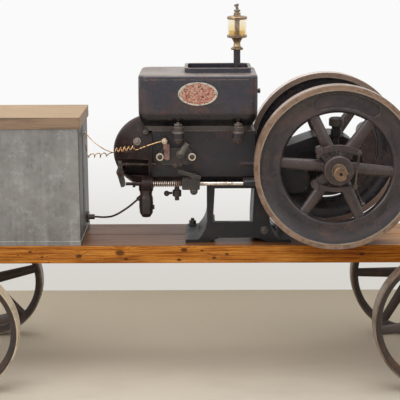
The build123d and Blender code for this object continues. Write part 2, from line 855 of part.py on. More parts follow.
# The igniter: a flanged plug on the block's near side, with its hammer barrel, pins and terminal.
igniter_z = cylinder_z
igniter_face_y = -block_half_width - igniter_thickness
barrel_low = (-69, 8)
barrel_high = (-48, 42)
barrel_radius = 11
pin_points = ((-85, -27), (-70, -25), (-55, -19))
with BuildPart() as igniter:
    with BuildSketch(side_plane(-block_half_width, igniter_x, igniter_z)):
        flat = igniter_half_length - 24
        with BuildLine():
            Polyline((-igniter_half_length, 0), (-flat, igniter_half_height), (flat, igniter_half_height),
                     (igniter_half_length, 0), (flat, -igniter_half_height), (-flat, -igniter_half_height), close=True)
        make_face()
        for u, w in pin_points:
            with Locations((u - igniter_x, w)):
                Circle(8)
    extrude(amount=igniter_thickness)
    for x in igniter_bolt_x:
        hex_nut(side_plane(igniter_face_y, x, igniter_z), nut_radius, nut_height - 2)
    rod(side_plane(igniter_face_y, barrel_low[0], igniter_z + barrel_low[1]), barrel_radius + 1, nut_height)
    barrel_start = Vector(barrel_low[0], igniter_face_y - 3, igniter_z + barrel_low[1])
    barrel_end = Vector(barrel_high[0], igniter_face_y - 1, igniter_z + barrel_high[1])
    rod(Plane(origin=barrel_start, z_dir=barrel_end - barrel_start), barrel_radius, (barrel_end - barrel_start).length)
    for u, w in pin_points:
        rod(side_plane(igniter_face_y, u, igniter_z + w), 4, 7)
pieces["igniter_plate"] = igniter

with BuildPart() as terminal:
    terminal_z = igniter_z + 16
    with BuildSketch(side_plane(igniter_face_y, terminal_x, terminal_z)):
        RectangleRounded(terminal_width, terminal_height, terminal_width / 2 - 1)
    extrude(amount=igniter_thickness)
    with BuildSketch(side_plane(igniter_face_y, terminal_x - 5, terminal_z + terminal_height / 2 - 6)):
        Rectangle(12, 24)
    extrude(amount=terminal_width)
    rod(side_plane(igniter_face_y, terminal_x - 7, terminal_z + terminal_height / 2 + 9), 9, 21)
pieces["igniter_terminal"] = terminal

# The drain cock hangs under the block, with its turning key.
cock_z = base_top_z - cock_drop
with BuildPart() as cock:
    spun_up(cock_x, cock_y, cock_z, [
        (0, cock_drop), (8, cock_drop), (8, 13), (cock_radius, 9), (cock_radius, -9), (7, -13), (7, -23), (0, -23)])
pieces["drain_cock"] = cock

with BuildPart() as cock_handle:
    key_x = cock_x - cock_radius - free_gap
    key_length = 2 * cock_knob_radius
    rod(cross_plane(key_x - key_length, cock_y, cock_z), cock_stem_radius, key_length)
    with Locations((key_x - key_length, cock_y - cock_knob_radius + 3, cock_z)):
        Sphere(cock_knob_radius)
pieces["cock_handle"] = cock_handle

# The mixer hangs under the head, and the fuel pipe runs from it to the box.
pipe_z = deck_top_z + fuel_pipe_rise
pipe_start_z = mixer_top_z - fuel_start_drop
fuel_levels = (pipe_start_z, pipe_start_z - fuel_rises[0], *(pipe_z + rise for rise in fuel_rises[1:]))
fuel_route = [(*place, z) for place, z in zip(fuel_plan, fuel_levels)]
fuel_route += [(box_right_x + fuel_last_run, fuel_pipe_y, pipe_z),
               (box_right_x + pipe_flange_thickness + fuel_nut_run, fuel_pipe_y, pipe_z)]
fuel_start = Vector(*fuel_route[0])
fuel_direction = (Vector(*fuel_route[1]) - fuel_start).normalized()
with BuildPart() as mixer:
    spun_up(mixer_x, mixer_y, mixer_top_z - mixer_height, [(0, mixer_height), *mixer_profile, (0, 0)])
    rod(Plane(origin=fuel_start - fuel_direction * mixer_boss_radius, z_dir=fuel_direction),
        2 * fuel_pipe_radius, mixer_boss_radius)
    rod(cross_plane(mixer_x, mixer_y, mixer_top_z - mixer_port_drop), mixer_port_radius,
        mixer_boss_radius + mixer_port_radius / 2)
pieces["mixer"] = mixer

# The crankcase: a closed housing with its bearing pedestals and the timing cover.
crank = (crank_x, crank_z)
case_nose = (case_right_x, crank_z - case_nose_drop)
with BuildPart() as case:
    case_left_x = right_leg_x + free_gap
    with BuildSketch(side_plane(case_half_width)):
        with BuildLine():
            Polyline((block_right_x, skirt_z), (block_right_x, block_top_z),
                     (block_right_x + case_neck_length, crank_z + case_neck_rise),
                     shift(crank, case_brow), shift(crank, case_hump), shift(crank, case_crown))
            ThreePointArc(shift(crank, case_crown), shift(crank, case_shoulder), case_nose)
            ThreePointArc(case_nose, shift(crank, case_belly), shift(crank, case_sump))
            Polyline(shift(crank, case_sump), shift(crank, case_heel), (case_left_x, base_top_z - case_foot_drop),
                     (case_left_x, base_top_z), (block_right_x, base_top_z), (block_right_x, skirt_z))
        make_face()
    extrude(amount=2 * case_half_width)
    for side in (-1, 1):
        with BuildSketch(side_plane(side * case_half_width)):
            with Locations((crank_x, crank_z - pedestal_height / 2)):
                Rectangle(pedestal_length, pedestal_height)
        extrude(amount=-side * (pedestal_reach - case_half_width))
    with BuildSketch(side_plane(-case_half_width)):
        with Locations((cover_x, rod_z + 10)):
            RectangleRounded(cover_length, cover_height, cover_corner)
    extrude(amount=pedestal_reach - case_half_width + cover_proud)
    rod(side_plane(pedestal_reach + 1, crank_x, crank_z), shaft_radius + running, 2 * pedestal_reach + 2,
        Mode.SUBTRACT)
    rod(cross_plane(cover_x - cover_length, rod_y, rod_z), rod_radius + running, rod_end_x - cover_x + cover_length + 15,
        Mode.SUBTRACT)
pieces["crankcase"] = case

# A cap over each main bearing: a grease cup is screwed into the near one, a plug into the other.
cup_foot_z = crank_z + cap_radius - 4
cup_neck = 40
with BuildPart() as caps:
    for side in (-1, 1):
        with BuildSketch(side_plane(side * (case_half_width + 2), crank_x, crank_z)):
            with BuildLine():
                CenterArc((0, 0), cap_radius, 0, 180)
                Line((-cap_radius, 0), (cap_radius, 0))
            make_face()
            with Locations((0, cap_flange / 2)):
                Rectangle(pedestal_length - 4, cap_flange)
            Circle(shaft_radius + running, mode=Mode.SUBTRACT)
        extrude(amount=-side * (pedestal_reach - case_half_width - 2))
    spun_up(crank_x + cup_offset, -cup_y, cup_foot_z, [
        (0, 0), (10, 0), (10, cup_neck), (cup_radius - 5, cup_neck + 3), (cup_radius - 5, cup_neck + 26),
        (cup_radius - 8, cup_neck + 28), (cup_radius - 8, cup_neck + 34), (cup_radius, cup_neck + 37),
        (cup_radius, cup_neck + cup_height), (cup_radius - 4, cup_neck + cup_height + 4),
        (0, cup_neck + cup_height + 4)])
    hex_nut(level(crank_z + cap_radius - 1).move(Location((crank_x, cup_y, 0))), cup_radius / 2, cap_flange)
pieces["bearing_caps"] = caps

# The crankshaft, with a keyway in its near end for a belt pulley.
with BuildPart() as crankshaft:
    shoulder_y = flywheel_centre_y + hub_outer_reach + 2 * free_gap
    rod(side_plane(shaft_half_length, crank_x, crank_z), shaft_end_radius, 2 * shaft_half_length)
    rod(side_plane(shoulder_y, crank_x, crank_z), shaft_radius, 2 * shoulder_y)
    key_x, key_z = on_circle(shaft_end_radius, keyway_angle)
    with BuildSketch(side_plane(-shaft_half_length + keyway_length, crank_x, crank_z)):
        with Locations(Location((key_x, key_z, 0), (0, 0, keyway_angle))):
            Rectangle(2 * keyway_depth, keyway_width)
    extrude(amount=keyway_length + 1, mode=Mode.SUBTRACT)
    end_faces = crankshaft.faces().filter_by(Axis.Y).sort_by(Axis.Y)
    chamfer((end_faces[0].edges() + end_faces[-1].edges()).filter_by(GeomType.CIRCLE), shaft_end_chamfer)
pieces["crankshaft"] = crankshaft


def flywheel_rim(centre, side):
    """The dished rim, with its machined outer ring standing a little proud."""
    half = flywheel_rim_width / 2
    ring = flywheel_radius - machined_ring
    dish = ring - dish_run
    inner = rim_inner_radius + 9
    with BuildSketch(Plane.XY.move(Location(centre))) as section:
        with BuildLine():
            Polyline((ring, side * (half - ring_step)), (ring, side * half), (flywheel_radius, side * half),
                     (flywheel_radius, -side * half), (ring, -side * half), (ring, -side * (half - ring_step)))
            ThreePointArc((ring, -side * (half - ring_step)), (dish, -side * rim_web_half), (inner, -side * rim_web_half))
            ThreePointArc((inner, -side * rim_web_half), (rim_inner_radius, 0), (inner, side * rim_web_half))
            ThreePointArc((inner, side * rim_web_half), (dish, side * (rim_web_half + 0.4)),
                          (ring, side * (half - ring_step)))
        make_face()
    revolve(section.sketch, axis=Axis(centre, (0, 1, 0)))


def governor_lug(point, centre_y):
    """An arm out from the hub that ends in a pivot pin with its nut."""
    reach = math.hypot(*point)
    angle = math.degrees(math.atan2(point[1], point[0]))
    bar_inner_y = governor_y + governor_bar_thickness / 2
    bar_outer_y = governor_y - governor_bar_thickness / 2
    root_y = centre_y + governor_arm_width / 4
    with BuildSketch(side_plane(root_y, crank_x, crank_z)) as arm:
        with Locations(Location((point[0] / 2, point[1] / 2, 0), (0, 0, angle))):
            Rectangle(reach, governor_arm_width)
        with Locations(point):
            Circle(governor_boss_radius + 2)
    extrude(arm.sketch, amount=root_y - bar_inner_y - free_gap)
    x, z = shift((crank_x, crank_z), point)
    rod(side_plane(bar_inner_y + 3, x, z), governor_pin_radius, governor_bar_thickness + 8)
    hex_nut(side_plane(bar_outer_y - free_gap, x, z), governor_boss_radius - 2, 5)


def flywheel(name, side, with_governor):
    """A flywheel: dished rim, oval spokes, a long hub and, on the near one, the governor's arms."""
    centre_y = side * flywheel_centre_y
    centre = (crank_x, centre_y, crank_z)
    hub_radius = shaft_radius + flywheel_hub_wall
    with BuildPart() as wheel:
        flywheel_rim(centre, side)
        spokes(centre, first_spoke_angle, hub_radius - 7, rim_inner_radius + 7, flywheel_spoke_root, flywheel_spoke_tip)
        spun(centre, [
            (shaft_radius / 4, side * hub_outer_reach), (hub_radius - hub_chamfer, side * hub_outer_reach),
            (hub_radius, side * (hub_outer_reach - hub_chamfer)), (hub_radius, -side * hub_inner_reach),
            (shaft_radius / 4, -side * hub_inner_reach)])
        if with_governor:
            for point in (upper_pivot, lower_pivot):
                governor_lug(point, centre_y)
            with BuildSketch(side_plane(centre_y - rim_web_half + pocket_depth, crank_x, crank_z)):
                with BuildLine() as pocket_line:
                    CenterArc((0, 0), pocket_radius, pocket_start, pocket_sweep)
                SlotArc(pocket_line.edges()[0], pocket_width)
            extrude(amount=flywheel_rim_width, mode=Mode.SUBTRACT)
        else:
            with BuildSketch(side_plane(centre_y, crank_x, crank_z)):
                with BuildLine() as weight_line:
                    CenterArc((0, 0), counterweight_inner + counterweight_width / 2, counterweight_start,
                              counterweight_sweep)
                SlotArc(weight_line.edges()[0], counterweight_width)
            extrude(amount=counterweight_depth, taper=counterweight_taper)
        rod(side_plane(centre_y + 2 * hub_outer_reach, crank_x, crank_z), shaft_radius, 4 * hub_outer_reach, Mode.SUBTRACT)
    pieces[name] = wheel


flywheel("near_flywheel", -1, True)
flywheel("far_flywheel", 1, False)


def governor_bar(name, pivot, rise, half_height):
    """A curved bar between its pivot and the link's pin."""
    end = shift(pivot, governor_span)
    middle = ((pivot[0] + end[0]) / 2, (pivot[1] + end[1]) / 2 + rise)
    with BuildPart() as bar:
        with BuildSketch(side_plane(governor_y + governor_bar_thickness / 2, crank_x, crank_z)):
            with BuildLine() as centre_line:
                ThreePointArc(pivot, middle, end)
            SlotArc(centre_line.edges()[0], 2 * half_height)
            with Locations(pivot):
                Circle(governor_boss_radius)
                Circle(governor_pin_radius + running, mode=Mode.SUBTRACT)
            with Locations(end):
                Circle(link_eye_radius)
                Circle(link_pin_radius + running, mode=Mode.SUBTRACT)
        extrude(amount=governor_bar_thickness)
    pieces[name] = bar


governor_bar("governor_weight", upper_pivot, 13, 9)
governor_bar("governor_lever", lower_pivot, -11, 6.5)

link_y = governor_y - governor_bar_thickness / 2 - free_gap
link_top = shift(upper_pivot, governor_span)
link_foot = shift(lower_pivot, governor_span)
with BuildPart() as link:
    with BuildSketch(side_plane(link_y, crank_x, crank_z)):
        with Locations(link_top, link_foot):
            Circle(link_eye_radius - 2)
        tilt = math.degrees(math.atan2(link_top[1] - link_foot[1], link_top[0] - link_foot[0]))
        middle = ((link_top[0] + link_foot[0]) / 2, (link_top[1] + link_foot[1]) / 2)
        with Locations(Location((*middle, 0), (0, 0, tilt))):
            Rectangle(math.dist(link_top, link_foot), link_width)
    extrude(amount=link_thickness)
    for point in (link_top, link_foot):
        x, z = shift((crank_x, crank_z), point)
        rod(side_plane(link_y + governor_bar_thickness, x, z), link_pin_radius, governor_bar_thickness + 1)
pieces["governor_link"] = link

# The battery box: folded sheet with a flat bottom, and its loose wooden lid.
box_x = box_right_x - box_length / 2
clip_z = box_top_z - clip_drop
with BuildPart() as box:
    with BuildSketch(level(deck_top_z)):
        with Locations((box_x, 0)):
            RectangleRounded(box_length, 2 * box_half_width, box_corner)
    extrude(amount=box_height)
    with BuildSketch(level(deck_top_z)):
        with Locations((box_x, 0)):
            RectangleRounded(box_length + 2 * box_band_proud, 2 * (box_half_width + box_band_proud), box_corner)
    extrude(amount=box_band_height)
    with BuildSketch(level(deck_top_z + box_wall)):
        with Locations((box_x, 0)):
            Rectangle(box_length - 2 * box_wall, 2 * (box_half_width - box_wall))
    extrude(amount=box_height, mode=Mode.SUBTRACT)
    with Locations((box_right_x, clip_y, clip_z)):
        Box(clip_reach, clip_width, clip_height, align=(Align.MIN, Align.CENTER, Align.CENTER))
pieces["battery_box"] = box

with BuildPart() as lid:
    with BuildSketch(level(box_top_z)):
        with Locations((box_x, 0)):
            RectangleRounded(box_length + 2 * lid_overhang, 2 * (box_half_width + lid_overhang), lid_corner)
    extrude(amount=lid_thickness)
    with BuildSketch(level(box_top_z)):
        with Locations((box_x, 0)):
            with GridLocations(box_length - 2 * batten_inset, 0, 2, 1):
                Rectangle(batten_width, 2 * (box_half_width - box_wall - batten_clearance))
    extrude(amount=-batten_depth)
pieces["box_lid"] = lid


def routed_tube(name, route, radius, limit=0.45):
    """A tube along straight runs joined by the largest tangent arcs."""
    points = [Vector(*point) for point in route]
    radii = []
    for a, b, c in zip(points, points[1:], points[2:]):
        turn = math.radians((b - a).get_angle(c - b))
        shorter = min((b - a).length, (c - b).length)
        radii.append(round(limit * shorter / math.tan(turn / 2), 1))
    with BuildPart() as tube:
        with BuildLine() as path:
            FilletPolyline(*points, radius=radii)
        with BuildSketch(Plane(origin=points[0], z_dir=points[1] - points[0])):
            Circle(radius)
        sweep()
    length = sum(edge.length for edge in path.edges())
    ratio = tube.part.volume / (math.pi * radius**2 * length)
    print(name, "radii", radii, "length", round(length), "volume ratio", round(ratio, 4))
    return tube


pipe = routed_tube("fuel_pipe", fuel_route, fuel_pipe_radius)
with BuildPart() as fuel_pipe:
    add(pipe.part)
    flange_plane = cross_plane(box_right_x, fuel_pipe_y, pipe_z)
    with BuildSketch(flange_plane):
        RectangleRounded(pipe_flange, pipe_flange, pipe_flange / 4)
    extrude(amount=pipe_flange_thickness)
    hex_nut(flange_plane, pipe_nut_radius, pipe_flange_thickness + pipe_nut_length)
pieces["fuel_pipe"] = fuel_pipe

# The ignition wires: two strands from the clip, a tight pigtail and a tail to the terminal.
lead_route = [(-372, -34, 772), (-358, -50, 757), (-334, -70, 740), (-309, -92, 727), (-289, -112, 727),
              (-270, -125, 732)]
slack_route = [(-371.3, -46, 768), (-370, -47, 748), (-367, -50, 725), (-361, -54, 704), (-350, -61, 696.5),
               (-339, -70, 706), (-328, -80, 697.5), (-317, -92, 709), (-303, -103, 706), (-288, -114, 717),
               (-269.5, -125, 724)]
tail_route = [(-211.5, -125, 738), (-194, -127, 736.5), (-160, -127, 747.5), (-127.6, -125, 757)]
pieces["ignition_lead"] = routed_tube("ignition_lead", lead_route, wire_radius)
pieces["ignition_slack"] = routed_tube("ignition_slack", slack_route, wire_radius)
pieces["ignition_tail"] = routed_tube("ignition_tail", tail_route, wire_radius)
pigtail_start = Vector(-268.7, -125, 729)
pigtail_end = Vector(-212, -125, 737.6)
with BuildPart() as pigtail:
    axis = pigtail_end - pigtail_start
    rod(Plane(origin=pigtail_start, z_dir=axis), pigtail_radius, axis.length)
pieces["ignition_pigtail"] = pigtail

for name, piece in pieces.items():
    piece.part.label = name
    export_step(piece.part, f"parts/{name}.step")
print(len(pieces), "nodes")
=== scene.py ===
"""A hit-and-miss engine on its wheeled truck, dressed for the render.

Metres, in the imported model's own frame: +Z up, the crankshaft along Y, and the push rod
on the near side at negative Y.
"""
import math
import random
import bpy
from mathutils import Matrix, Vector
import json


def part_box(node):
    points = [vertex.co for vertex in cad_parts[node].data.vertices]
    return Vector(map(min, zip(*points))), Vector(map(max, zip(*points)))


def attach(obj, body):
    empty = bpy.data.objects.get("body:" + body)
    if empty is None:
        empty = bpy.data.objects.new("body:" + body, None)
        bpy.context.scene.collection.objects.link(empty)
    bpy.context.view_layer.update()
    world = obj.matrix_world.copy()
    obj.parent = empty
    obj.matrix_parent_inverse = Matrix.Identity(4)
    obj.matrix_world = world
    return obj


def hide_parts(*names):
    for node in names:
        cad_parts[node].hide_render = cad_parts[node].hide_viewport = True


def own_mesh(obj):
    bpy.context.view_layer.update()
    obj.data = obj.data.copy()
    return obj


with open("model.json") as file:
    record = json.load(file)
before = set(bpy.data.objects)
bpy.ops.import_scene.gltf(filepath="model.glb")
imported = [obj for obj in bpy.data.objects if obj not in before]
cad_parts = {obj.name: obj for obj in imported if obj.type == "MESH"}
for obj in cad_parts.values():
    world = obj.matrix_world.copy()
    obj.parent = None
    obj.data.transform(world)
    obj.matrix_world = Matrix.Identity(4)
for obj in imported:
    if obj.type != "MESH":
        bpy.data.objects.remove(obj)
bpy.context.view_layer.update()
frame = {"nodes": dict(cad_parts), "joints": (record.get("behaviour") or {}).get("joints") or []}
scene = bpy.context.scene

# Camera: a long lens in front of the push rod, a little higher than the oiler's top. It
# looks along +Y and some 12 degrees down. The angles are in degrees, the lens in millimetres.
camera_place = (-0.003, -3.791, 1.358)
camera_pan = 0.09
camera_down = 12.12
camera_roll = -0.19
camera_data = bpy.data.cameras.new("camera")
camera_data.lens = 108
camera_data.sensor_width = 36
camera = bpy.data.objects.new("camera", camera_data)
scene.collection.objects.link(camera)
camera.matrix_world = (
    Matrix.Translation(camera_place)
    @ Matrix.Rotation(math.radians(camera_pan), 4, "Z")
    @ Matrix.Rotation(math.radians(90 - camera_down), 4, "X")
    @ Matrix.Rotation(math.radians(camera_roll), 4, "Z"))
scene.camera = camera
scene.view_settings.view_transform = "Standard"

# Ignition wires: bare copper from the clip on the box. The main one is wound in loose
# turns before it reaches the igniter's terminal, and the slack one hangs in kinks below it.
wire_radius = 0.0015
wire_length = 0.461
slack_length = 0.256
coil_start = Vector((-0.2730, -0.125, 0.7285))
coil_end = Vector((-0.2100, -0.125, 0.7372))
coil_radius = 0.0078
coil_turns = 5
lead_points = [
    (-0.372, -0.034, 0.772), (-0.358, -0.050, 0.757), (-0.334, -0.070, 0.740), (-0.309, -0.092, 0.727),
    (-0.291, -0.109, 0.7235), (-0.281, -0.115, 0.7205)]
tail_points = [(-0.2030, -0.1335, 0.7315), (-0.1940, -0.1310, 0.7350), (-0.180, -0.128, 0.7405),
               (-0.160, -0.127, 0.7475), (-0.1276, -0.125, 0.757)]
slack_start = [(-0.3713, -0.046, 0.768), (-0.37, -0.047, 0.748), (-0.3685, -0.049, 0.726),
               (-0.366, -0.052, 0.708)]
slack_end = [(-0.288, -0.1135, 0.7195), (-0.2695, -0.125, 0.724)]
curls_start = Vector((-0.3590, -0.0570, 0.7000))
curls_end = Vector((-0.3000, -0.1020, 0.7110))
curls_radius = 0.0068
curls_turns = 3
points_per_turn = 14
size_spread = 0.16  # how far one turn's size differs from the next
end_share = 0.80    # how large the first and last turns are
lean_share = 0.3    # how far each turn leans along the axis


def shade(red, green, blue):
    """A colour written as it looks on screen, from 0 to 255, as the shader's own numbers."""
    parts = [value / 255 for value in (red, green, blue)]
    return tuple(p / 12.92 if p <= 0.04045 else ((p + 0.055) / 1.055) ** 2.4 for p in parts) + (1.0,)


def add_node(tree, kind, inputs=None, **settings):
    """A shader node with its settings, and its inputs given as values or as other nodes' outputs."""
    made = tree.nodes.new(kind if kind.startswith("Node") else "ShaderNode" + kind)
    for key, value in settings.items():
        setattr(made, key, value)
    for socket, value in (inputs or {}).items():
        if isinstance(value, bpy.types.NodeSocket):
            tree.links.new(value, made.inputs[socket])
        else:
            made.inputs[socket].default_value = value
    return made


def maths(tree, operation, first, second=0.0, third=0.0):
    """One sum on two or three values."""
    return add_node(tree, "Math", {0: first, 1: second, 2: third}, operation=operation).outputs[0]


def times(tree, first, second):
    """Two values multiplied, such as two masks where they overlap."""
    return maths(tree, "MULTIPLY", first, second)


def larger(tree, first, second):
    """The larger of two values, such as two masks joined."""
    return maths(tree, "MAXIMUM", first, second)


def ramp(tree, value, low, high, start=0.0, end=1.0):
    """A value eased from start to end as it goes from low to high."""
    eased = add_node(tree, "MapRange", {"Value": value, "From Min": low, "From Max": high, "To Min": start,
                                        "To Max": end}, interpolation_type="SMOOTHSTEP")
    return eased.outputs["Result"]


def tint(tree, mask, first, second, share=1.0):
    """The first colour, going over to the second by a share of the mask."""
    if share != 1.0:
        mask = times(tree, mask, share)
    return add_node(tree, "Mix", {0: mask, 6: first, 7: second}, data_type="RGBA").outputs[2]


def noise(tree, vector, scale, detail=5.0, roughness=0.6):
    """Cloudy noise between 0 and 1."""
    made = add_node(tree, "TexNoise", {"Vector": vector, "Scale": scale, "Detail": detail,
                                       "Roughness": roughness})
    return made.outputs["Fac"]


def stretched(tree, vector, scale):
    """Coordinates stretched along the axes."""
    return add_node(tree, "Mapping", {"Vector": vector, "Scale": scale}).outputs["Vector"]


def streaky(tree, vector, scale, detail=5.0, roughness=0.6):
    """Noise that is drawn out along the axes with the smaller scales."""
    return noise(tree, stretched(tree, vector, scale), 1.0, detail, roughness)


def new_finish(name):
    """An empty material, with the piece's own coordinates."""
    finish = bpy.data.materials.new(name)
    finish.use_nodes = True
    tree = finish.node_tree
    tree.nodes.clear()
    return finish, tree, add_node(tree, "TexCoord").outputs["Object"]


def surface(tree, colour, roughness, height=None, depth=0.0005, strength=0.5, rounding=None, **more):
    """The shader itself, with bump from a height and edges that catch the light as if rounded."""
    inputs = {"Base Color": colour, "Roughness": roughness}
    for key, value in more.items():
        inputs[key.replace("_", " ").title().replace("Ior", "IOR")] = value
    shader = add_node(tree, "BsdfPrincipled", inputs)
    normal = None
    if rounding:
        normal = add_node(tree, "Bevel", {"Radius": rounding}, samples=4).outputs["Normal"]
    if height is not None:
        bump = add_node(tree, "Bump", {"Height": height, "Distance": depth, "Strength": strength})
        if normal:
            tree.links.new(normal, bump.inputs["Normal"])
        normal = bump.outputs["Normal"]
    if normal:
        tree.links.new(normal, shader.inputs["Normal"])
    add_node(tree, "OutputMaterial", {"Surface": shader.outputs["BSDF"]})


copper, tree, place = new_finish("wire_copper")
# The pale and dark patches along the wire are partly tarnish and partly painted highlight and shade.
tarnish = ramp(tree, noise(tree, place, 130), 0.46, 0.60)
drawn_lines = streaky(tree, place, (40, 700, 700), 3)
surface(tree, tint(tree, tarnish, shade(238, 194, 142), shade(112, 70, 38)),
        ramp(tree, tarnish, 0, 1, 0.28, 0.5), drawn_lines, depth=0.0001, strength=0.3, metallic=0.85)


def loose_turns(start, end, radius, turns, seed):
    """Loose turns of a wire: each differs a little in size, and the ends run in to the axis."""
    spread = random.Random(seed)
    axis = end - start
    across = axis.normalized().cross(Vector((0, 0, 1)))
    up = across.cross(axis.normalized())
    steps = turns * points_per_turn
    sizes = [1 + spread.uniform(-size_spread, size_spread) for _ in range(turns + 1)]
    places = []
    for k in range(steps + 1):
        share = k / steps
        turn = min(int(share * turns), turns - 1)
        within = share * turns - turn
        size = sizes[turn] * (1 - within) + sizes[turn + 1] * within
        ends = min(1.0, end_share + share * turns / 3, end_share + (1 - share) * turns / 3)
        angle = math.tau * share * turns - math.pi / 2
        lean = lean_share * radius * math.sin(angle)
        places.append(start + axis * share + axis.normalized() * lean
                      + (across * math.cos(angle) + up * math.sin(angle)) * radius * size * ends)
    return [tuple(place) for place in places]


def wire(name, points, replaced, length, far_end):
    """One smooth copper wire along its points."""
    line = bpy.data.curves.new(name, "CURVE")
    line.dimensions = "3D"
    line.bevel_depth = wire_radius
    line.bevel_resolution = 3
    line.resolution_u = 6
    line.use_fill_caps = True
    spline = line.splines.new("NURBS")
    spline.points.add(len(points) - 1)
    for point, target in zip(points, spline.points):
        target.co = (*point, 1.0)
    spline.order_u = 3
    spline.use_endpoint_u = True
    line.materials.append(copper)
    piece = bpy.data.objects.new(name, line)
    scene.collection.objects.link(piece)
    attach(piece, "truck")
    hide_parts(*replaced)


coil_points = loose_turns(coil_start, coil_end, coil_radius, coil_turns, seed=4)
curls_points = loose_turns(curls_start, curls_end, curls_radius, curls_turns, seed=7)
wire("ignition_wire", lead_points + coil_points + tail_points,
     ("ignition_lead", "ignition_pigtail", "ignition_tail"), wire_length, "object")
wire("slack_wire", slack_start + curls_points + slack_end, ("ignition_slack",), slack_length, "bare")

# Floor, wall and light: a pale concrete floor against a white wall, under wide soft lamps. The
# wall is painted darker towards its foot and the floor darker towards the wall, as painted shade.
# The wall shows from the front only, so that the engine can be seen from behind.
floor_colour = shade(214, 206, 190)
floor_spots = shade(203, 194, 178)
floor_far_shade = shade(186, 174, 154)
wall_colour = shade(250, 250, 250)
wall_foot_shade = shade(214, 211, 205)
wall_y = 0.82
stage_reach = 9.0
sky_light = 0.42
lamps = [  # place, what it points at, size, watts
    ((-0.3, -0.5, 3.3), (0.0, 0.0, 0.4), 2.8, 74),
    ((-2.6, -3.0, 2.4), (-0.2, 0.0, 0.6), 2.0, 44),
    ((2.8, -2.6, 2.2), (0.3, 0.0, 0.6), 2.0, 20)]


def deselect():
    """Leave nothing selected, because an operator acts on all that is."""
    if bpy.context.mode != "OBJECT":
        bpy.ops.object.mode_set(mode="OBJECT")
    bpy.ops.object.select_all(action="DESELECT")


def only(piece):
    """Select one piece and nothing else."""
    deselect()
    piece.select_set(True)
    bpy.context.view_layer.objects.active = piece


def fix_place(piece):
    """Move a piece's place, turn and size into its mesh, so that its object stays at the origin."""
    only(piece)
    bpy.ops.object.transform_apply(location=True, rotation=True, scale=True)


def stage_sheet(name, place, size, tilt=0.0):
    """A flat sheet for the stage, level or tipped up round X."""
    deselect()
    bpy.ops.mesh.primitive_plane_add(size=1, location=place, rotation=(tilt, 0, 0))
    sheet = bpy.context.object
    sheet.name = name
    sheet.scale = (*size, 1)
    fix_place(sheet)
    return sheet


def part_of(tree, vector, axis):
    """One part, X, Y or Z, of a vector."""
    return add_node(tree, "SeparateXYZ", {0: vector}).outputs[axis]


def seen_directly(tree):
    """1 for rays from the camera and from mirror-like and clear surfaces, 0 for those that only light."""
    rays = add_node(tree, "LightPath").outputs
    indirect = larger(tree, rays["Is Glossy Ray"], rays["Is Transmission Ray"])
    return larger(tree, rays["Is Camera Ray"], indirect)


floor = stage_sheet("floor", (0, 0, 0), (2 * stage_reach, 2 * stage_reach))
concrete, tree, place = new_finish("pale_concrete")
trowelled = noise(tree, stretched(tree, place, (1, 2, 1)), 2.2, 6)
laid = tint(tree, ramp(tree, trowelled, 0.40, 0.64), floor_colour, floor_spots)
# painted shade: the floor goes darker towards the wall
back = ramp(tree, part_of(tree, place, "Y"), -0.9, 0.5)
speckle = ramp(tree, noise(tree, place, 70, 4), 0.60, 0.72, 0.0, 0.35)
laid = tint(tree, speckle, tint(tree, back, laid, floor_far_shade), floor_spots)
surface(tree, laid, 0.75, noise(tree, place, 180, 4), depth=0.0006, strength=0.3)
floor.data.materials.append(concrete)

wall = stage_sheet("wall", (0, wall_y, stage_reach / 2), (2 * stage_reach, stage_reach), math.pi / 2)
plaster, tree, place = new_finish("white_wall")
# painted shade: the wall goes darker towards its foot
white_with_shade = tint(tree, ramp(tree, part_of(tree, place, "Z"), 0.0, 0.75), wall_foot_shade, wall_colour)
matt = add_node(tree, "BsdfDiffuse", {"Color": white_with_shade})
even = add_node(tree, "Emission", {"Color": white_with_shade, "Strength": 1.0})
front = add_node(tree, "MixShader", {0: seen_directly(tree), 1: matt.outputs[0], 2: even.outputs[0]})
clear = add_node(tree, "BsdfTransparent")
behind = add_node(tree, "NewGeometry").outputs["Backfacing"]
backed = add_node(tree, "MixShader", {0: behind, 1: front.outputs[0], 2: clear.outputs[0]})
add_node(tree, "OutputMaterial", {"Surface": backed.outputs[0]})
wall.data.materials.append(plaster)

for number, (spot, target, size, power) in enumerate(lamps):
    light = bpy.data.lights.new(f"lamp_{number}", "AREA")
    light.shape = "SQUARE"
    light.size = size
    light.energy = power
    lamp = bpy.data.objects.new(f"lamp_{number}", light)
    lamp.matrix_world = Matrix.LocRotScale(
        Vector(spot), (Vector(spot) - Vector(target)).to_track_quat("Z", "Y"), None)
    scene.collection.objects.link(lamp)

world = bpy.data.worlds.new("studio")
scene.world = world
world.use_nodes = True
sky = world.node_tree
sky.nodes.clear()
plain = add_node(sky, "Background", {"Color": (1, 1, 1, 1), "Strength": sky_light})
white = add_node(sky, "Background", {"Color": shade(244, 243, 243), "Strength": 1.0})
both = add_node(sky, "MixShader", {0: seen_directly(sky), 1: plain.outputs[0], 2: white.outputs[0]})
add_node(sky, "OutputWorld", {"Surface": both.outputs[0]})


# Deck: two long softwood planks, varnished orange at the front edge and worn brown on top,
# with knots, dark specks and a redder stretch under the flywheels, painted darker there as shade.
deck_knots = [  # X and Z on the front edge, and how wide the knot is
    (-0.059, 0.416, 0.012), (-0.075, 0.384, 0.008), (-0.260, 0.407, 0.016), (-0.241, 0.387, 0.007),
    (-0.389, 0.397, 0.011), (-0.003, 0.414, 0.006), (0.035, 0.390, 0.008), (0.075, 0.402, 0.007),
    (0.498, 0.401, 0.009), (-0.542, 0.411, 0.006), (-0.505, 0.394, 0.005)]
deck_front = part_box("deck_planks")[0][1]
bare_end = (0.61, 0.75)  # X where the top goes over to bare wood
shade_end = (0.28, 0.46)  # X where the front edge goes over to a darker red


def measured_from(tree, vector, point):
    """Coordinates measured from a point."""
    return add_node(tree, "VectorMath", {0: vector, 1: point}, operation="SUBTRACT").outputs[0]


def length_of(tree, vector):
    """How long a vector is."""
    return add_node(tree, "VectorMath", {0: vector}, operation="LENGTH").outputs["Value"]


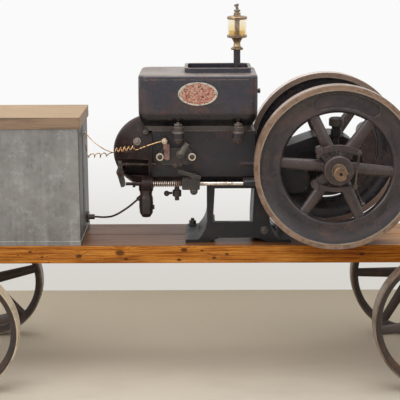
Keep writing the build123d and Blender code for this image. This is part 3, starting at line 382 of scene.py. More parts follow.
def altered(tree, colour, saturation, value, hue=0.5):
    """A colour made duller, stronger, lighter or darker."""
    return add_node(tree, "HueSaturation", {"Hue": hue, "Saturation": saturation, "Value": value,
                                            "Color": colour}).outputs[0]


def new_group(name, inputs, outputs):
    """An empty node group with named sockets, with its own input and output nodes."""
    group = bpy.data.node_groups.new(name, "ShaderNodeTree")
    for label, kind, value in inputs:
        socket = group.interface.new_socket(label, in_out="INPUT", socket_type="NodeSocket" + kind)
        if kind == "Float":
            socket.default_value = value
    for label, kind in outputs:
        group.interface.new_socket(label, in_out="OUTPUT", socket_type="NodeSocket" + kind)
    return group, add_node(group, "NodeGroupInput").outputs, add_node(group, "NodeGroupOutput").inputs


def use_group(tree, group, **inputs):
    """A group placed in a material with its own values."""
    made = tree.nodes.new("ShaderNodeGroup")
    made.node_tree = group
    for label, value in inputs.items():
        socket = made.inputs[label.replace("_", " ").title()]
        if isinstance(value, bpy.types.NodeSocket):
            tree.links.new(value, socket)
        else:
            socket.default_value = value
    return made.outputs


# Growth rings of a log that lies along X: a sawtooth of the distance from its middle.
wood_grain, given, put = new_group(
    "wood_grain", [("Vector", "Vector", None), ("Rings", "Float", 220.0), ("Wobble", "Float", 0.012),
                   ("Bend", "Float", 0.0)],
    [("Ring", "Float"), ("Fibre", "Float"), ("Pores", "Float")])
links = wood_grain.links
slow = streaky(wood_grain, given["Vector"], (1.6, 9, 9), 3)
across = add_node(wood_grain, "VectorMath", {0: given["Vector"], 1: (0.0, 1.0, 1.0)}, operation="MULTIPLY")
distance = length_of(wood_grain, across.outputs[0])
wavy = maths(wood_grain, "MULTIPLY_ADD", maths(wood_grain, "SUBTRACT", slow, 0.5), given["Wobble"],
             distance)
bent = maths(wood_grain, "ADD", wavy, given["Bend"])
saw = maths(wood_grain, "FRACT", times(wood_grain, bent, given["Rings"]))
late = times(wood_grain, maths(wood_grain, "POWER", saw, 2.4), ramp(wood_grain, saw, 1.0, 0.93))
fibre = streaky(wood_grain, given["Vector"], (6, 260, 260), 5, 0.65)
pores = streaky(wood_grain, given["Vector"], (22, 900, 900), 3, 0.5)
links.new(late, put["Ring"])
links.new(fibre, put["Fibre"])
links.new(pores, put["Pores"])

# Edge wear: 1 where the surface turns within the given distance, broken up by noise.
worn_edges, given, put = new_group(
    "worn_edges", [("Vector", "Vector", None), ("Reach", "Float", 0.003), ("Wear", "Float", 1.0)],
    [("Mask", "Float")])
turned_normal = add_node(worn_edges, "Bevel", {"Radius": given["Reach"]}, samples=4).outputs["Normal"]
flat_normal = add_node(worn_edges, "NewGeometry").outputs["Normal"]
same = add_node(worn_edges, "VectorMath", {0: turned_normal, 1: flat_normal}, operation="DOT_PRODUCT")
edge = ramp(worn_edges, same.outputs["Value"], 0.985, 0.80)
broken = ramp(worn_edges, noise(worn_edges, given["Vector"], 45, 6), 0.30, 0.62)
worn_edges.links.new(times(worn_edges, times(worn_edges, edge, broken), given["Wear"]), put["Mask"])

# Patches: two sizes of noise together, cut at a level, for rust, stains and thin paint.
patches, given, put = new_group(
    "patches", [("Vector", "Vector", None), ("Size", "Float", 12.0), ("Level", "Float", 0.55),
                ("Softness", "Float", 0.08)], [("Mask", "Float")])
wide = noise(patches, given["Vector"], given["Size"], 6, 0.62)
small = noise(patches, given["Vector"], times(patches, given["Size"], 6.3), 4, 0.6)
both = maths(patches, "ADD", times(patches, wide, 0.72), times(patches, small, 0.28))
cut = ramp(patches, both, maths(patches, "SUBTRACT", given["Level"], given["Softness"]),
           maths(patches, "ADD", given["Level"], given["Softness"]))
patches.links.new(cut, put["Mask"])

# Dust that settles on what faces up.
top_dust, given, put = new_group(
    "top_dust", [("Vector", "Vector", None), ("Amount", "Float", 0.5)], [("Mask", "Float")])
facing = add_node(top_dust, "SeparateXYZ", {0: add_node(top_dust, "NewGeometry").outputs["Normal"]})
lying = ramp(top_dust, facing.outputs["Z"], 0.35, 0.95)
uneven = ramp(top_dust, noise(top_dust, given["Vector"], 14, 6), 0.25, 0.70, 0.45, 1.0)
top_dust.links.new(times(top_dust, times(top_dust, lying, uneven), given["Amount"]), put["Mask"])


def patchy(tree, vector, **values):
    """A mask of rust, stains or thin paint."""
    return use_group(tree, patches, vector=vector, **values)["Mask"]


def worn_at(tree, vector, **values):
    """A mask of rubbed edges."""
    return use_group(tree, worn_edges, vector=vector, **values)["Mask"]


def dusty_at(tree, vector, **values):
    """A mask of settled dust."""
    return use_group(tree, top_dust, vector=vector, **values)["Mask"]


def dress(finish, *nodes):
    """Give CAD nodes their finish and keep their meshes."""
    for node in nodes:
        shown = frame["nodes"][node].data
        shown.materials.clear()
        shown.materials.append(finish)


def faces(tree, axis, low, high):
    """1 where the surface faces along an axis."""
    return ramp(tree, part_of(tree, add_node(tree, "NewGeometry").outputs["Normal"], axis), low, high)


def wood(name, pale, dark, middle, rings, wobble, roughness, knots=(), extra=None, ring_share=0.75,
         **more):
    """A board finish: growth rings round a log's middle, fibre, worn edges and knots."""
    finish, tree, place = new_finish(name)
    centred = measured_from(tree, place, middle)
    bend, spots = 0.0, 0.0
    for x, z, size in knots:
        away = measured_from(tree, place, (x, deck_front, z))
        oval = stretched(tree, away, (0.62, 0.35, 1.0))
        near = length_of(tree, oval)
        bend = maths(tree, "ADD", ramp(tree, near, 2.6 * size, 0.2 * size, 0.0, 0.9 * size), bend)
        spots = larger(tree, ramp(tree, near, 0.75 * size, 0.35 * size), spots)
    grain = use_group(tree, wood_grain, vector=centred, rings=rings, wobble=wobble, bend=bend)
    worn = worn_at(tree, place, reach=0.004, wear=0.7)
    colour = tint(tree, times(tree, grain["Ring"], ring_share), shade(*pale), shade(*dark))
    dull = altered(tree, colour, 0.9, 0.62)
    colour = tint(tree, ramp(tree, grain["Fibre"], 0.42, 0.70, 0.0, 0.7), colour, dull)
    if extra:
        colour = extra(tree, place, colour)
    colour = tint(tree, worn, colour, altered(tree, colour, 0.85, 1.45), share=0.6)
    if knots:
        colour = tint(tree, spots, colour, shade(70, 34, 20), share=0.85)
    height = maths(tree, "SUBTRACT", grain["Pores"], times(tree, grain["Ring"], 0.5))
    surface(tree, colour, ramp(tree, grain["Fibre"], 0.3, 0.7, roughness, roughness + 0.15), height,
            depth=0.0004, strength=0.5, rounding=0.003, **more)
    return finish


def deck_stains(tree, place, colour):
    """The planks' marks: a brown top, a redder right-hand end painted darker as shade, and small dark
    specks.
    """
    walked = tint(tree, ramp(tree, streaky(tree, place, (2, 14, 2), 5), 0.35, 0.65), shade(102, 69, 50),
                  shade(76, 48, 34))
    ragged = maths(tree, "MULTIPLY_ADD", streaky(tree, place, (3, 26, 3), 4), 0.2,
                   part_of(tree, place, "X"))
    bare = tint(tree, ramp(tree, streaky(tree, place, (2, 46, 3), 6), 0.38, 0.62), shade(204, 152, 86),
                shade(150, 102, 54))
    walked = tint(tree, ramp(tree, ragged, *bare_end), walked, bare)
    colour = tint(tree, faces(tree, "Z", 0.5, 0.9), colour, walked, share=0.86)
    edge_grain = faces(tree, "Z", 0.6, 0.3)
    figured = streaky(tree, place, (5, 40, 120), 6, 0.72)
    red = times(tree, ramp(tree, figured, 0.47, 0.6, 0.0, 0.75), edge_grain)
    colour = tint(tree, red, colour, shade(118, 56, 18))
    golden = times(tree, ramp(tree, figured, 0.46, 0.36, 0.0, 0.65), edge_grain)
    colour = tint(tree, golden, colour, shade(222, 158, 78))
    # painted shade: the right-hand end, under the flywheels, is made darker as well as redder
    wandering = maths(tree, "MULTIPLY_ADD", noise(tree, place, 5), 0.16, part_of(tree, place, "X"))
    darker = altered(tree, colour, 1.05, 0.66, hue=0.492)
    colour = tint(tree, ramp(tree, wandering, *shade_end, 0.0, 0.85), colour, darker)
    specks = add_node(tree, "TexVoronoi", {"Vector": stretched(tree, place, (0.55, 1, 1)), "Scale": 75.0})
    rare = ramp(tree, noise(tree, place, 9, 2), 0.50, 0.66)
    dots = times(tree, ramp(tree, specks.outputs["Distance"], 0.2, 0.1), rare)
    return tint(tree, dots, colour, shade(74, 42, 26), share=0.7)


deck_wood = wood("deck_wood", (202, 128, 46), (118, 60, 18), middle=(0.0, -0.08, 0.3), rings=200.0,
                 wobble=0.022, roughness=0.3, knots=deck_knots, extra=deck_stains,
                 specular_ior_level=0.12)
dress(deck_wood, "deck_planks")

# Bolsters and axle block: plain sawn timber across the truck, between the planks and the
# axles, gone dark with oil and dirt.
frame_timber = wood("frame_timber", (104, 72, 52), (64, 42, 31), middle=(0.0, 0.03, 0.2), rings=240.0,
                    wobble=0.02, roughness=0.62, ring_share=0.6)
dress(frame_timber, "bolsters", "axle_block")


# Truck iron: forged axle bars, king pin and plates, brown with thin rust under old grease.
# The front axle turns on the king pin, and the wheels turn on the axles' ends.
def cast_iron(name, paint, second, rust, bare, rough=0.5, rust_level=0.60, wear=0.8, dust=0.4,
              dust_colour=(132, 122, 110), rounding=0.0016, grain=420, extra=None, **more):
    """Painted or rusty iron: two tones of paint, rust patches, bright edges, oil film and dust on top."""
    finish, tree, place = new_finish(name)
    tones = patchy(tree, place, size=9.0, level=0.5, softness=0.14)
    flecks = patchy(tree, place, size=38.0, level=0.6, softness=0.05)
    rusty = patchy(tree, place, size=15.0, level=rust_level, softness=0.07)
    oily = patchy(tree, place, size=6.0, level=0.52, softness=0.12)
    edges = worn_at(tree, place, reach=0.0035, wear=wear)
    dusty = dusty_at(tree, place, amount=dust)
    colour = tint(tree, tones, shade(*paint), shade(*second))
    colour = tint(tree, flecks, colour, shade(*rust), share=0.35)
    colour = tint(tree, rusty, colour, shade(*rust), share=0.8)
    if extra:
        colour = extra(tree, place, colour)
    colour = tint(tree, edges, colour, shade(*bare))
    colour = tint(tree, dusty, colour, shade(*dust_colour))
    fine = noise(tree, place, grain, 6, 0.7)
    lumps = noise(tree, place, 60, 3, 0.5)
    height = maths(tree, "ADD", times(tree, fine, 0.6), lumps)
    dull = larger(tree, times(tree, rusty, 0.8), dusty)
    film = ramp(tree, oily, 0, 1, rough + 0.08, rough - 0.10)
    surface(tree, colour, maths(tree, "ADD", film, times(tree, dull, 0.3)), height, depth=0.0006,
            strength=0.45, rounding=rounding, **more)
    return finish


truck_iron = cast_iron("truck_iron", (48, 39, 36), (62, 48, 40), (96, 62, 42), (130, 112, 98), rough=0.5,
                       rust_level=0.55)
dress(truck_iron, "rear_axle", "front_axle", "king_pin")

# Truck wheels: cast iron, dark brown spokes and ribs, with a tread rubbed to rusty tan-grey.
# They stand on the floor, so the height of an axle is its wheel's radius.
joint_places = {joint["name"]: joint.get("pos_m") for joint in frame["joints"]}
tread_depth = 0.005
tread_tan, tread_brown = shade(138, 122, 106), shade(96, 76, 62)
truck_wheels = [
    ("rear_wheel_near", "rear_near_roll", tread_tan, tread_brown),
    ("rear_wheel_far", "rear_far_roll", tread_tan, tread_brown),
    ("front_wheel_near", "front_near_roll", shade(206, 190, 164), shade(158, 138, 112)),
    ("front_wheel_far", "front_far_roll", tread_tan, tread_brown)]


def from_axis(tree, place, x, z):
    """The distance and the angle of a point round an axis along Y."""
    centred = measured_from(tree, place, (x, 0.0, z))
    apart = add_node(tree, "SeparateXYZ", {0: centred})
    flat = add_node(tree, "VectorMath", {0: centred, 1: (1.0, 0.0, 1.0)}, operation="MULTIPLY").outputs[0]
    distance = length_of(tree, flat)
    return distance, maths(tree, "ARCTAN2", apart.outputs["Z"], apart.outputs["X"])


def tread(x, z, start, pale, worn):
    """A rim's own colour outside a radius, streaked along the way it rolls."""
    def over(tree, place, colour):
        distance, angle = from_axis(tree, place, x, z)
        streak = add_node(tree, "CombineXYZ", {0: times(tree, distance, 260.0),
                                               1: times(tree, angle, 2.2)}).outputs[0]
        streaks = ramp(tree, noise(tree, streak, 1.0, 4), 0.38, 0.66)
        stains = patchy(tree, place, size=16.0, level=0.52, softness=0.1)
        rim = tint(tree, larger(tree, times(tree, streaks, 0.5), stains), pale, worn)
        return tint(tree, ramp(tree, distance, start - 0.0008, start + 0.0006), colour, rim)
    return over


for node, roll, pale, worn in truck_wheels:
    x, _, radius = joint_places[roll]
    finish = cast_iron(node + "_iron", (62, 49, 44), (50, 40, 37), (92, 66, 50), (140, 120, 104),
                       rough=0.42, rust_level=0.57, wear=0.7, dust=0.2,
                       extra=tread(x, radius, radius - tread_depth, pale, worn))
    dress(finish, node)

# Battery box: folded galvanised sheet, dull grey and cloudy, with a riveted seam down its
# right-hand side and a turned-out bottom edge. The side that faces right is painted darker, as shade.
seam_middle = (-0.3813, -0.025, 0.6190)
seam_size = (0.0030, 0.0150, 0.3420)
rivet_spots = [(-0.3797, seam_middle[1], seam_middle[2] + rise)
               for rise in (-0.150, -0.090, -0.030, 0.030, 0.090, 0.150)]
rightward, upward, nearward = (1, 0, 0), (0, 0, 1), (0, -1, 0)
damp_foot = (0.52, 0.44)  # Z where the sheet goes over to its stained foot
smooth_angle = math.radians(32)
rivet_outline = [(0.0, -0.0006), (0.0034, -0.0006), (0.0034, 0.0003), (0.003, 0.0014), (0.0018, 0.0022),
                 (0.0, 0.0024)]

galvanised, tree, place = new_finish("galvanised")
streaks = streaky(tree, place, (30, 30, 1.2), 5, 0.6)
clouds = patchy(tree, place, size=6.0, level=0.5, softness=0.16)
blooms = patchy(tree, place, size=22.0, level=0.57, softness=0.07)
spangle = add_node(tree, "TexVoronoi", {"Vector": place, "Scale": 70.0}).outputs["Color"]
zinc = tint(tree, ramp(tree, streaks, 0.34, 0.66), shade(152, 149, 147), shade(120, 117, 114), share=0.45)
zinc = tint(tree, clouds, zinc, shade(112, 109, 107), share=0.8)
zinc = tint(tree, blooms, zinc, shade(176, 177, 178), share=0.42)
smears = patchy(tree, stretched(tree, place, (1, 1, 0.45)), size=34.0, level=0.6, softness=0.05)
zinc = tint(tree, smears, zinc, shade(94, 91, 88), share=0.4)
foot = times(tree, ramp(tree, part_of(tree, place, "Z"), *damp_foot), ramp(tree, streaks, 0.4, 0.62))
zinc = tint(tree, foot, zinc, shade(98, 93, 86), share=0.45)
zinc = tint(tree, part_of(tree, spangle, "X"), zinc, shade(190, 192, 192), share=0.1)
# painted shade: streaky dark bands on the side that faces right
shaded_bands = tint(tree, ramp(tree, streaky(tree, place, (1, 60, 1), 3), 0.42, 0.58), shade(80, 73, 65),
              shade(50, 46, 41))
zinc = tint(tree, faces(tree, "X", 0.5, 0.9), zinc, shaded_bands, share=0.88)
edges = worn_at(tree, place, reach=0.003, wear=0.8)
zinc = tint(tree, edges, zinc, shade(196, 194, 184))
surface(tree, zinc, ramp(tree, streaks, 0.3, 0.7, 0.4, 0.56), noise(tree, place, 14, 3), depth=0.0025,
        strength=0.35, rounding=0.0015, metallic=0.35)
dress(galvanised, "battery_box")


def settle(piece, name, finish, body, slot, *replaced):
    """Fix a finished piece's place into its mesh, smooth it, name it and hand it to its body."""
    fix_place(piece)
    bpy.ops.object.shade_smooth_by_angle(angle=smooth_angle)
    piece.name = name
    piece.data.name = name
    piece.data.materials.clear()
    piece.data.materials.append(finish)
    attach(piece, body)
    if replaced:
        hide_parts(*replaced)


def pick(piece, kind, test):
    """Enter edit mode with only the faces or edges selected whose middle and direction pass a test."""
    only(piece)
    bpy.ops.object.mode_set(mode="EDIT")
    bpy.ops.mesh.select_mode(type=kind)
    bpy.ops.mesh.select_all(action="DESELECT")
    bpy.ops.object.mode_set(mode="OBJECT")
    mesh = piece.data
    if kind == "FACE":
        for polygon in mesh.polygons:
            polygon.select = test(polygon.center, polygon.normal)
    else:
        for line in mesh.edges:
            one, two = (mesh.vertices[k].co for k in line.vertices)
            line.select = test((one + two) / 2, (two - one).normalized())
    bpy.ops.object.mode_set(mode="EDIT")


def edit_all(piece):
    """Enter edit mode with all of one piece selected."""
    only(piece)
    bpy.ops.object.mode_set(mode="EDIT")
    bpy.ops.mesh.select_all(action="SELECT")


def face_outward():
    """Turn every face of the piece being edited outward and leave edit mode."""
    bpy.ops.mesh.select_all(action="SELECT")
    bpy.ops.mesh.normals_make_consistent(inside=False)
    bpy.ops.object.mode_set(mode="OBJECT")


def turned(outline, steps):
    """A lathe-turned piece along Z: a ring is extruded and resized from one (radius, height) to the next."""
    point_radius = 0.00001
    deselect()
    radius, height = max(outline[0][0], point_radius), outline[0][1]
    bpy.ops.mesh.primitive_circle_add(vertices=steps, radius=radius, location=(0, 0, height))
    piece = bpy.context.object
    fix_place(piece)
    edit_all(piece)
    for next_radius, next_height in outline[1:]:
        next_radius = max(next_radius, point_radius)
        bpy.ops.mesh.extrude_region_move(TRANSFORM_OT_translate={"value": (0, 0, next_height - height)})
        bpy.ops.transform.resize(value=(next_radius / radius, next_radius / radius, 1),
                                 center_override=(0, 0, next_height))
        radius, height = next_radius, next_height
    bpy.ops.mesh.select_all(action="SELECT")
    bpy.ops.mesh.remove_doubles(threshold=2.5 * point_radius)
    face_outward()
    return piece


def joined(pieces):
    """Several pieces made one."""
    deselect()
    for piece in pieces:
        piece.select_set(True)
    bpy.context.view_layer.objects.active = pieces[0]
    bpy.ops.object.join()
    return pieces[0]


def repeated(template, spots, direction):
    """Copies of one piece, each with its own mesh, their Z turned along a direction, made one piece."""
    turn = Vector(direction).to_track_quat("Z", "Y")
    copies = []
    for spot in spots:
        copy = bpy.data.objects.new("copy", template.data.copy())
        scene.collection.objects.link(copy)
        copy.matrix_world = Matrix.LocRotScale(Vector(spot), turn, None)
        copies.append(copy)
    bpy.data.objects.remove(template)
    return joined(copies)


def block_piece(middle, size, rounding):
    """A bar with rounded edges."""
    deselect()
    bpy.ops.mesh.primitive_cube_add(size=1, location=middle)
    piece = bpy.context.object
    piece.scale = size
    fix_place(piece)
    edit_all(piece)
    bpy.ops.mesh.bevel(offset=rounding, segments=2)
    bpy.ops.object.mode_set(mode="OBJECT")
    return piece


seam = block_piece(seam_middle, seam_size, rounding=0.0008)
rivets = repeated(turned(rivet_outline, 16), rivet_spots, rightward)
settle(joined([seam, rivets]), "box_seam", galvanised, "truck", "galvanised")


# Box lid: a loose, thick board, pale and worn on top, greyer and darker at its front edge.
# It lies on the rim of the box and lifts off.
def lid_front(tree, place, colour):
    """The front edge, handled and weathered to grey-brown."""
    weathered = tint(tree, ramp(tree, streaky(tree, place, (4, 4, 60), 4), 0.38, 0.62),
                     shade(146, 120, 100), shade(100, 84, 74))
    return tint(tree, faces(tree, "Y", -0.5, -0.9), colour, weathered, share=0.8)


lid_wood = wood("lid_wood", (170, 142, 108), (118, 90, 58), middle=(0.0, 0.1, 0.62), rings=260.0,
                wobble=0.03, roughness=0.46, extra=lid_front, ring_share=0.5, specular_ior_level=0.35)
dress(lid_wood, "box_lid")

# Engine base: a cast stand in worn black paint. A bolt at the back of each foot holds it to
# the deck, and a screwed boss stands on the right-hand leg.
base_iron = cast_iron("base_iron", (34, 33, 36), (44, 42, 42), (60, 51, 46), (122, 114, 106), rough=0.4,
                      rust_level=0.62, wear=0.9, dust=0.06, dust_colour=(70, 67, 65), rounding=0.0026,
                      specular_ior_level=0.2)
dress(base_iron, "engine_base")


def fitting_iron(name, *tones, rough=0.36, rust_level=0.58, wear=0.9, dust=0.2, rounding=0.0008, **more):
    """The iron of small fittings: a finer grain and sharper edges than a large casting's."""
    return cast_iron(name, *tones, rough=rough, rust_level=rust_level, wear=wear, dust=dust,
                     rounding=rounding, grain=700, **more)


small_iron = fitting_iron("small_iron", (52, 47, 46), (66, 57, 52), (84, 62, 50), (132, 116, 102),
                          rust_level=0.57, rounding=0.0006)
bolt_iron = fitting_iron("bolt_iron", (50, 45, 43), (64, 55, 49), (86, 62, 48), (136, 120, 106),
                         rounding=0.0006)
foot_bolts = [(x, 0.094, 0.441) for x in (-0.034, 0.257)]
washer_height = 0.0022
nut_turn = math.radians(11)
boss_spot = (0.194, -0.1071, 0.4680)
leg_face = (0, -1, 0.10)


def hex_fastener(radius, height, washer=0.0, stud=0.0, reach=0.0):
    """A hexagon nut with chamfered corners, on a washer, with the stud's rounded end through it."""
    lift = washer_height if washer else 0.0
    middle = lift + height / 2
    deselect()
    bpy.ops.mesh.primitive_cylinder_add(vertices=6, radius=radius, depth=height, location=(0, 0, middle),
                                        rotation=(0, 0, nut_turn))
    nut = bpy.context.object
    fix_place(nut)
    pick(nut, "EDGE", lambda spot, way: abs(way.z) < 0.5 and spot.z > middle)
    bpy.ops.mesh.bevel(offset=radius * 0.14, segments=2)
    face_outward()
    parts = [nut]
    if washer:
        parts.append(turned([(0.0, 0.0), (washer, 0.0), (washer, 0.0016), (washer - 0.0007, 0.0023),
                             (0.0, 0.0023)], 24))
    if stud:
        foot = lift + height - 0.001
        top = lift + height + reach
        parts.append(turned([(0.0, foot), (stud, foot), (stud, top - stud * 0.35),
                             (stud * 0.8, top - stud * 0.1), (stud * 0.35, top), (0.0, top)], 16))
    return joined(parts)


bolts = repeated(hex_fastener(0.0125, 0.012, washer=0.015, stud=0.006, reach=0.008), foot_bolts, upward)
settle(bolts, "foot_bolts", bolt_iron, "truck", "engine_iron")
boss_ring = turned([(0.0, -0.003), (0.0135, -0.003), (0.0135, 0.0030), (0.0120, 0.0046), (0.0, 0.0050)], 24)
boss_end = turned([(0.0, 0.0046), (0.0062, 0.0046), (0.0058, 0.0080), (0.0030, 0.0092), (0.0, 0.0094)], 16)
boss = repeated(joined([boss_ring, boss_end]), [boss_spot], leg_face)
settle(boss, "leg_boss", bolt_iron, "truck", "engine_iron")

# Cylinder block and crankcase: castings in worn blue-black paint that has gone purple-grey,
# with brown rust showing through. The block's lower half and the whole crankcase are painted
# darker, as shade. Nuts hold the bearing caps and screws the side cover.
shade_below = (0.69, 0.64)  # Z, from the first trace to the full tone
hopper_joint = (0.7825, 0.7838)


def block_marks(tree, place, colour):
    """A rubbed line along the joint under the hopper, and painted shade that darkens the lower half."""
    rise = part_of(tree, place, "Z")
    # painted shade: darker towards the bottom of the block
    low = times(tree, ramp(tree, rise, *shade_below), 0.65)
    colour = tint(tree, low, colour, shade(22, 21, 24))
    line = times(tree, ramp(tree, rise, *hopper_joint), faces(tree, "Y", -0.2, -0.6))
    rubbed = ramp(tree, streaky(tree, place, (14, 1, 1), 3), 0.36, 0.52)
    return tint(tree, times(tree, line, rubbed), colour, shade(150, 136, 128), share=0.75)


engine_iron = cast_iron("engine_iron", (40, 40, 47), (50, 44, 47), (76, 54, 48), (124, 108, 96),
                        rough=0.32, rust_level=0.59, wear=0.75, dust=0.22, dust_colour=(104, 96, 90),
                        rounding=0.0026, extra=block_marks, specular_ior_level=0.4)
dress(engine_iron, "cylinder_block")
# A darker copy of the block's iron: painted shade for the dark, open crank space between the flywheels.
shaded_case_iron = cast_iron("shaded_case_iron", (30, 29, 32), (40, 35, 36), (62, 47, 42), (108, 94, 84), rough=0.3,
                      rust_level=0.6, wear=0.7, dust=0.04, dust_colour=(70, 65, 62), rounding=0.0026,
                      specular_ior_level=0.25)
dress(shaded_case_iron, "crankcase", "bearing_caps")
crank_x, _, crank_z = joint_places["crank_spin"]
cap_flange = 0.698
cap_nuts = [(crank_x + x, y, cap_flange) for x in (-0.0485, 0.0485) for y in (-0.112, -0.082, 0.082, 0.112)]
nuts = repeated(hex_fastener(0.0072, 0.006, stud=0.0034, reach=0.004), cap_nuts, upward)
settle(nuts, "cap_nuts", bolt_iron, "truck", "engine_iron")
cover_x, cover_face, cover_z = 0.285, -0.132, 0.632
cover_screws = [(cover_x + x, cover_face, cover_z + z) for x in (-0.037, 0.037) for z in (-0.026, 0.026)]
screws = repeated(hex_fastener(0.0062, 0.0048, washer=0.008), cover_screws, nearward)
settle(screws, "cover_screws", shaded_case_iron, "truck", "engine_iron")

# Grease cup: a turned cup on the near bearing, with a thread and a wide cap knurled for
# the fingers.
cup_x, cup_y, cap_middle, thread_foot = 0.416, -0.090, 0.8105, 0.7895
knurl_sides = 36
knurl_depth = 0.0011
deselect()
bpy.ops.mesh.primitive_cylinder_add(vertices=knurl_sides, radius=0.0222, depth=0.0200,
                                    location=(cup_x, cup_y, cap_middle))
knurl = bpy.context.object
fix_place(knurl)


def every_other_side(middle, way):
    """True for every second one of the faces round the cap."""
    side = round((math.atan2(way.y, way.x) / math.tau + 1) * knurl_sides + 0.5)
    return abs(way.z) < 0.5 and side % 2 == 0


pick(knurl, "FACE", every_other_side)
bpy.ops.mesh.extrude_faces_move(MESH_OT_extrude_faces_indiv={},
                                TRANSFORM_OT_shrink_fatten={"value": knurl_depth})
face_outward()
thread_ridges = [(0.0170 if k % 2 else 0.0150, 0.0012 + 0.0011 * k) for k in range(9)]
thread = turned([(0.0140, 0.0)] + thread_ridges + [(0.0140, 0.0112)], 28)
thread.location = (cup_x, cup_y, thread_foot)
settle(joined([knurl, thread]), "grease_cup", small_iron, "truck", "engine_iron")

# Head: a domed casting that closes the cylinder, its paint mottled brown and grey. A bolt
# with its washer and a stud with its nut stand in its face.
head_iron = cast_iron("head_iron", (24, 19, 21), (47, 36, 35), (68, 46, 40), (120, 102, 92), rough=0.42,
                      rust_level=0.55, wear=0.9, dust=0.04, dust_colour=(100, 90, 84), rounding=0.0026,
                      specular_ior_level=0.16)
dress(head_iron, "cylinder_head")
rubbed_iron = fitting_iron("rubbed_iron", (120, 104, 94), (96, 80, 72), (96, 70, 56), (196, 182, 168),
                           rough=0.34, wear=1.0, dust=0.3, dust_colour=(150, 138, 126), rounding=0.0006)
lower_spot, lower_face = (-0.204, -0.1002, 0.752), (-0.344, -0.853, 0.390)
upper_spot, upper_face = (-0.176, -0.0918, 0.778), (-0.138, -0.777, 0.614)
lower_bolt = repeated(hex_fastener(0.0095, 0.008, washer=0.0125), [lower_spot], lower_face)
settle(lower_bolt, "head_bolt", rubbed_iron, "truck", "engine_iron")
upper_nut = repeated(hex_fastener(0.0095, 0.008, stud=0.005, reach=0.006), [upper_spot], upper_face)
settle(upper_nut, "head_nut", small_iron, "truck", "engine_iron")

# Head shoulder: the top of the same dome, carried on under the overhang of the hopper. It is
# turned as a slice of the dome and cut flat below and slanting above, clear of the hopper.
head_low, head_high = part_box("cylinder_head")
dome_foot = head_high[0]
dome_depth = dome_foot - head_low[0]
dome_axis, dome_radius = 0.706, 0.119
dome_slice = [(dome_radius * math.sqrt(1 - (out / dome_depth) ** 2), out)
              for out in (0.0440, 0.0380, 0.0320, 0.0260, 0.0200, 0.0140, 0.0080, 0.0020)]
shoulder_cuts = [  # a point on each cut, and the side that goes
    ((0, 0, 0.7822), (0, 0, -1)),
    ((-0.1580, 0, 0.8080), (0.45, 0, 1)),
    ((0, 0.1005, 0), (0, 1, 0)),
    ((0, -0.1005, 0), (0, -1, 0))]
whole_slice = turned([(0.0, dome_slice[0][1])] + dome_slice + [(0.0, dome_slice[-1][1])], 96)
shoulder = repeated(whole_slice, [(dome_foot, 0.0, dome_axis)], (-1, 0, 0))
fix_place(shoulder)
edit_all(shoulder)
for spot, way in shoulder_cuts:
    bpy.ops.mesh.select_all(action="SELECT")
    bpy.ops.mesh.bisect(plane_co=spot, plane_no=way, use_fill=True, clear_outer=True)
face_outward()
settle(shoulder, "head_shoulder", head_iron, "truck", "engine_iron")

# Hopper: a cast water tank in worn blue-black paint, its shoulder painted dark as shade and its
# top pale with dust and painted light, with four studs through lugs that hold it to the block.
lug_spots = [(x, y) for x in (-0.076, 0.109) for y in (-0.128, 0.128)]
haze_below = (0.884, 0.85)  # Z, from the first trace to the full tone
shoulder_shade_below = (0.848, 0.836)
flange_below = (0.8012, 0.7998)


def hopper_marks(tree, place, colour):
    """Reddish patches on the sides, a brown haze, painted shade on the shoulder, and a rubbed flange."""
    rise = part_of(tree, place, "Z")
    red = patchy(tree, place, size=18.0, level=0.585, softness=0.05)
    colour = tint(tree, red, colour, shade(92, 60, 52), share=0.5)
    haze = times(tree, ramp(tree, rise, *haze_below), ramp(tree, noise(tree, place, 16, 5), 0.35, 0.65))
    colour = tint(tree, haze, colour, shade(76, 60, 54), share=0.55)
    # painted shade: the shoulder's underside made dark
    colour = tint(tree, ramp(tree, rise, *shoulder_shade_below), colour, shade(18, 17, 20), share=0.9)
    return tint(tree, ramp(tree, rise, *flange_below), colour, shade(84, 77, 74), share=0.75)


# The heavy dust on what faces up is partly dust and partly painted light from above.
hopper_iron = cast_iron("hopper_iron", (50, 51, 61), (60, 55, 61), (84, 60, 53), (150, 126, 104),
                        rough=0.3, rust_level=0.6, wear=1.0, dust=0.82, dust_colour=(146, 134, 124),
                        rounding=0.003, extra=hopper_marks)
dress(hopper_iron, "water_hopper", "hopper_top")
stud_nuts = []
for z, way in ((0.8002, 1), (0.7648, -1)):
    stud_nut = hex_fastener(0.014, 0.0095, washer=0.0182, stud=0.0064, reach=0.005)
    stud_nuts.append(repeated(stud_nut, [(x, y, z) for x, y in lug_spots], (0, 0, way)))
settle(joined(stud_nuts), "hopper_studs", bolt_iron, "truck", "engine_iron", "hopper_bolts")
shim = turned([(0.015, -0.001), (0.0186, -0.001), (0.0189, 0.0), (0.0186, 0.001), (0.015, 0.001),
               (0.015, -0.001)], 28)
shims = repeated(shim, [(x, y, 0.786) for x, y in lug_spots], upward)
settle(shims, "lug_shims", rubbed_iron, "truck", "engine_iron")
plug = turned([(0.0, -0.002), (0.0055, -0.002), (0.0055, 0.003), (0.008, 0.0042), (0.008, 0.0085),
               (0.005, 0.0105), (0.0, 0.0108)], 20)
plug = repeated(plug, [(0.170, -0.060, 0.905)], rightward)
settle(plug, "hopper_plug", small_iron, "truck", "engine_iron")

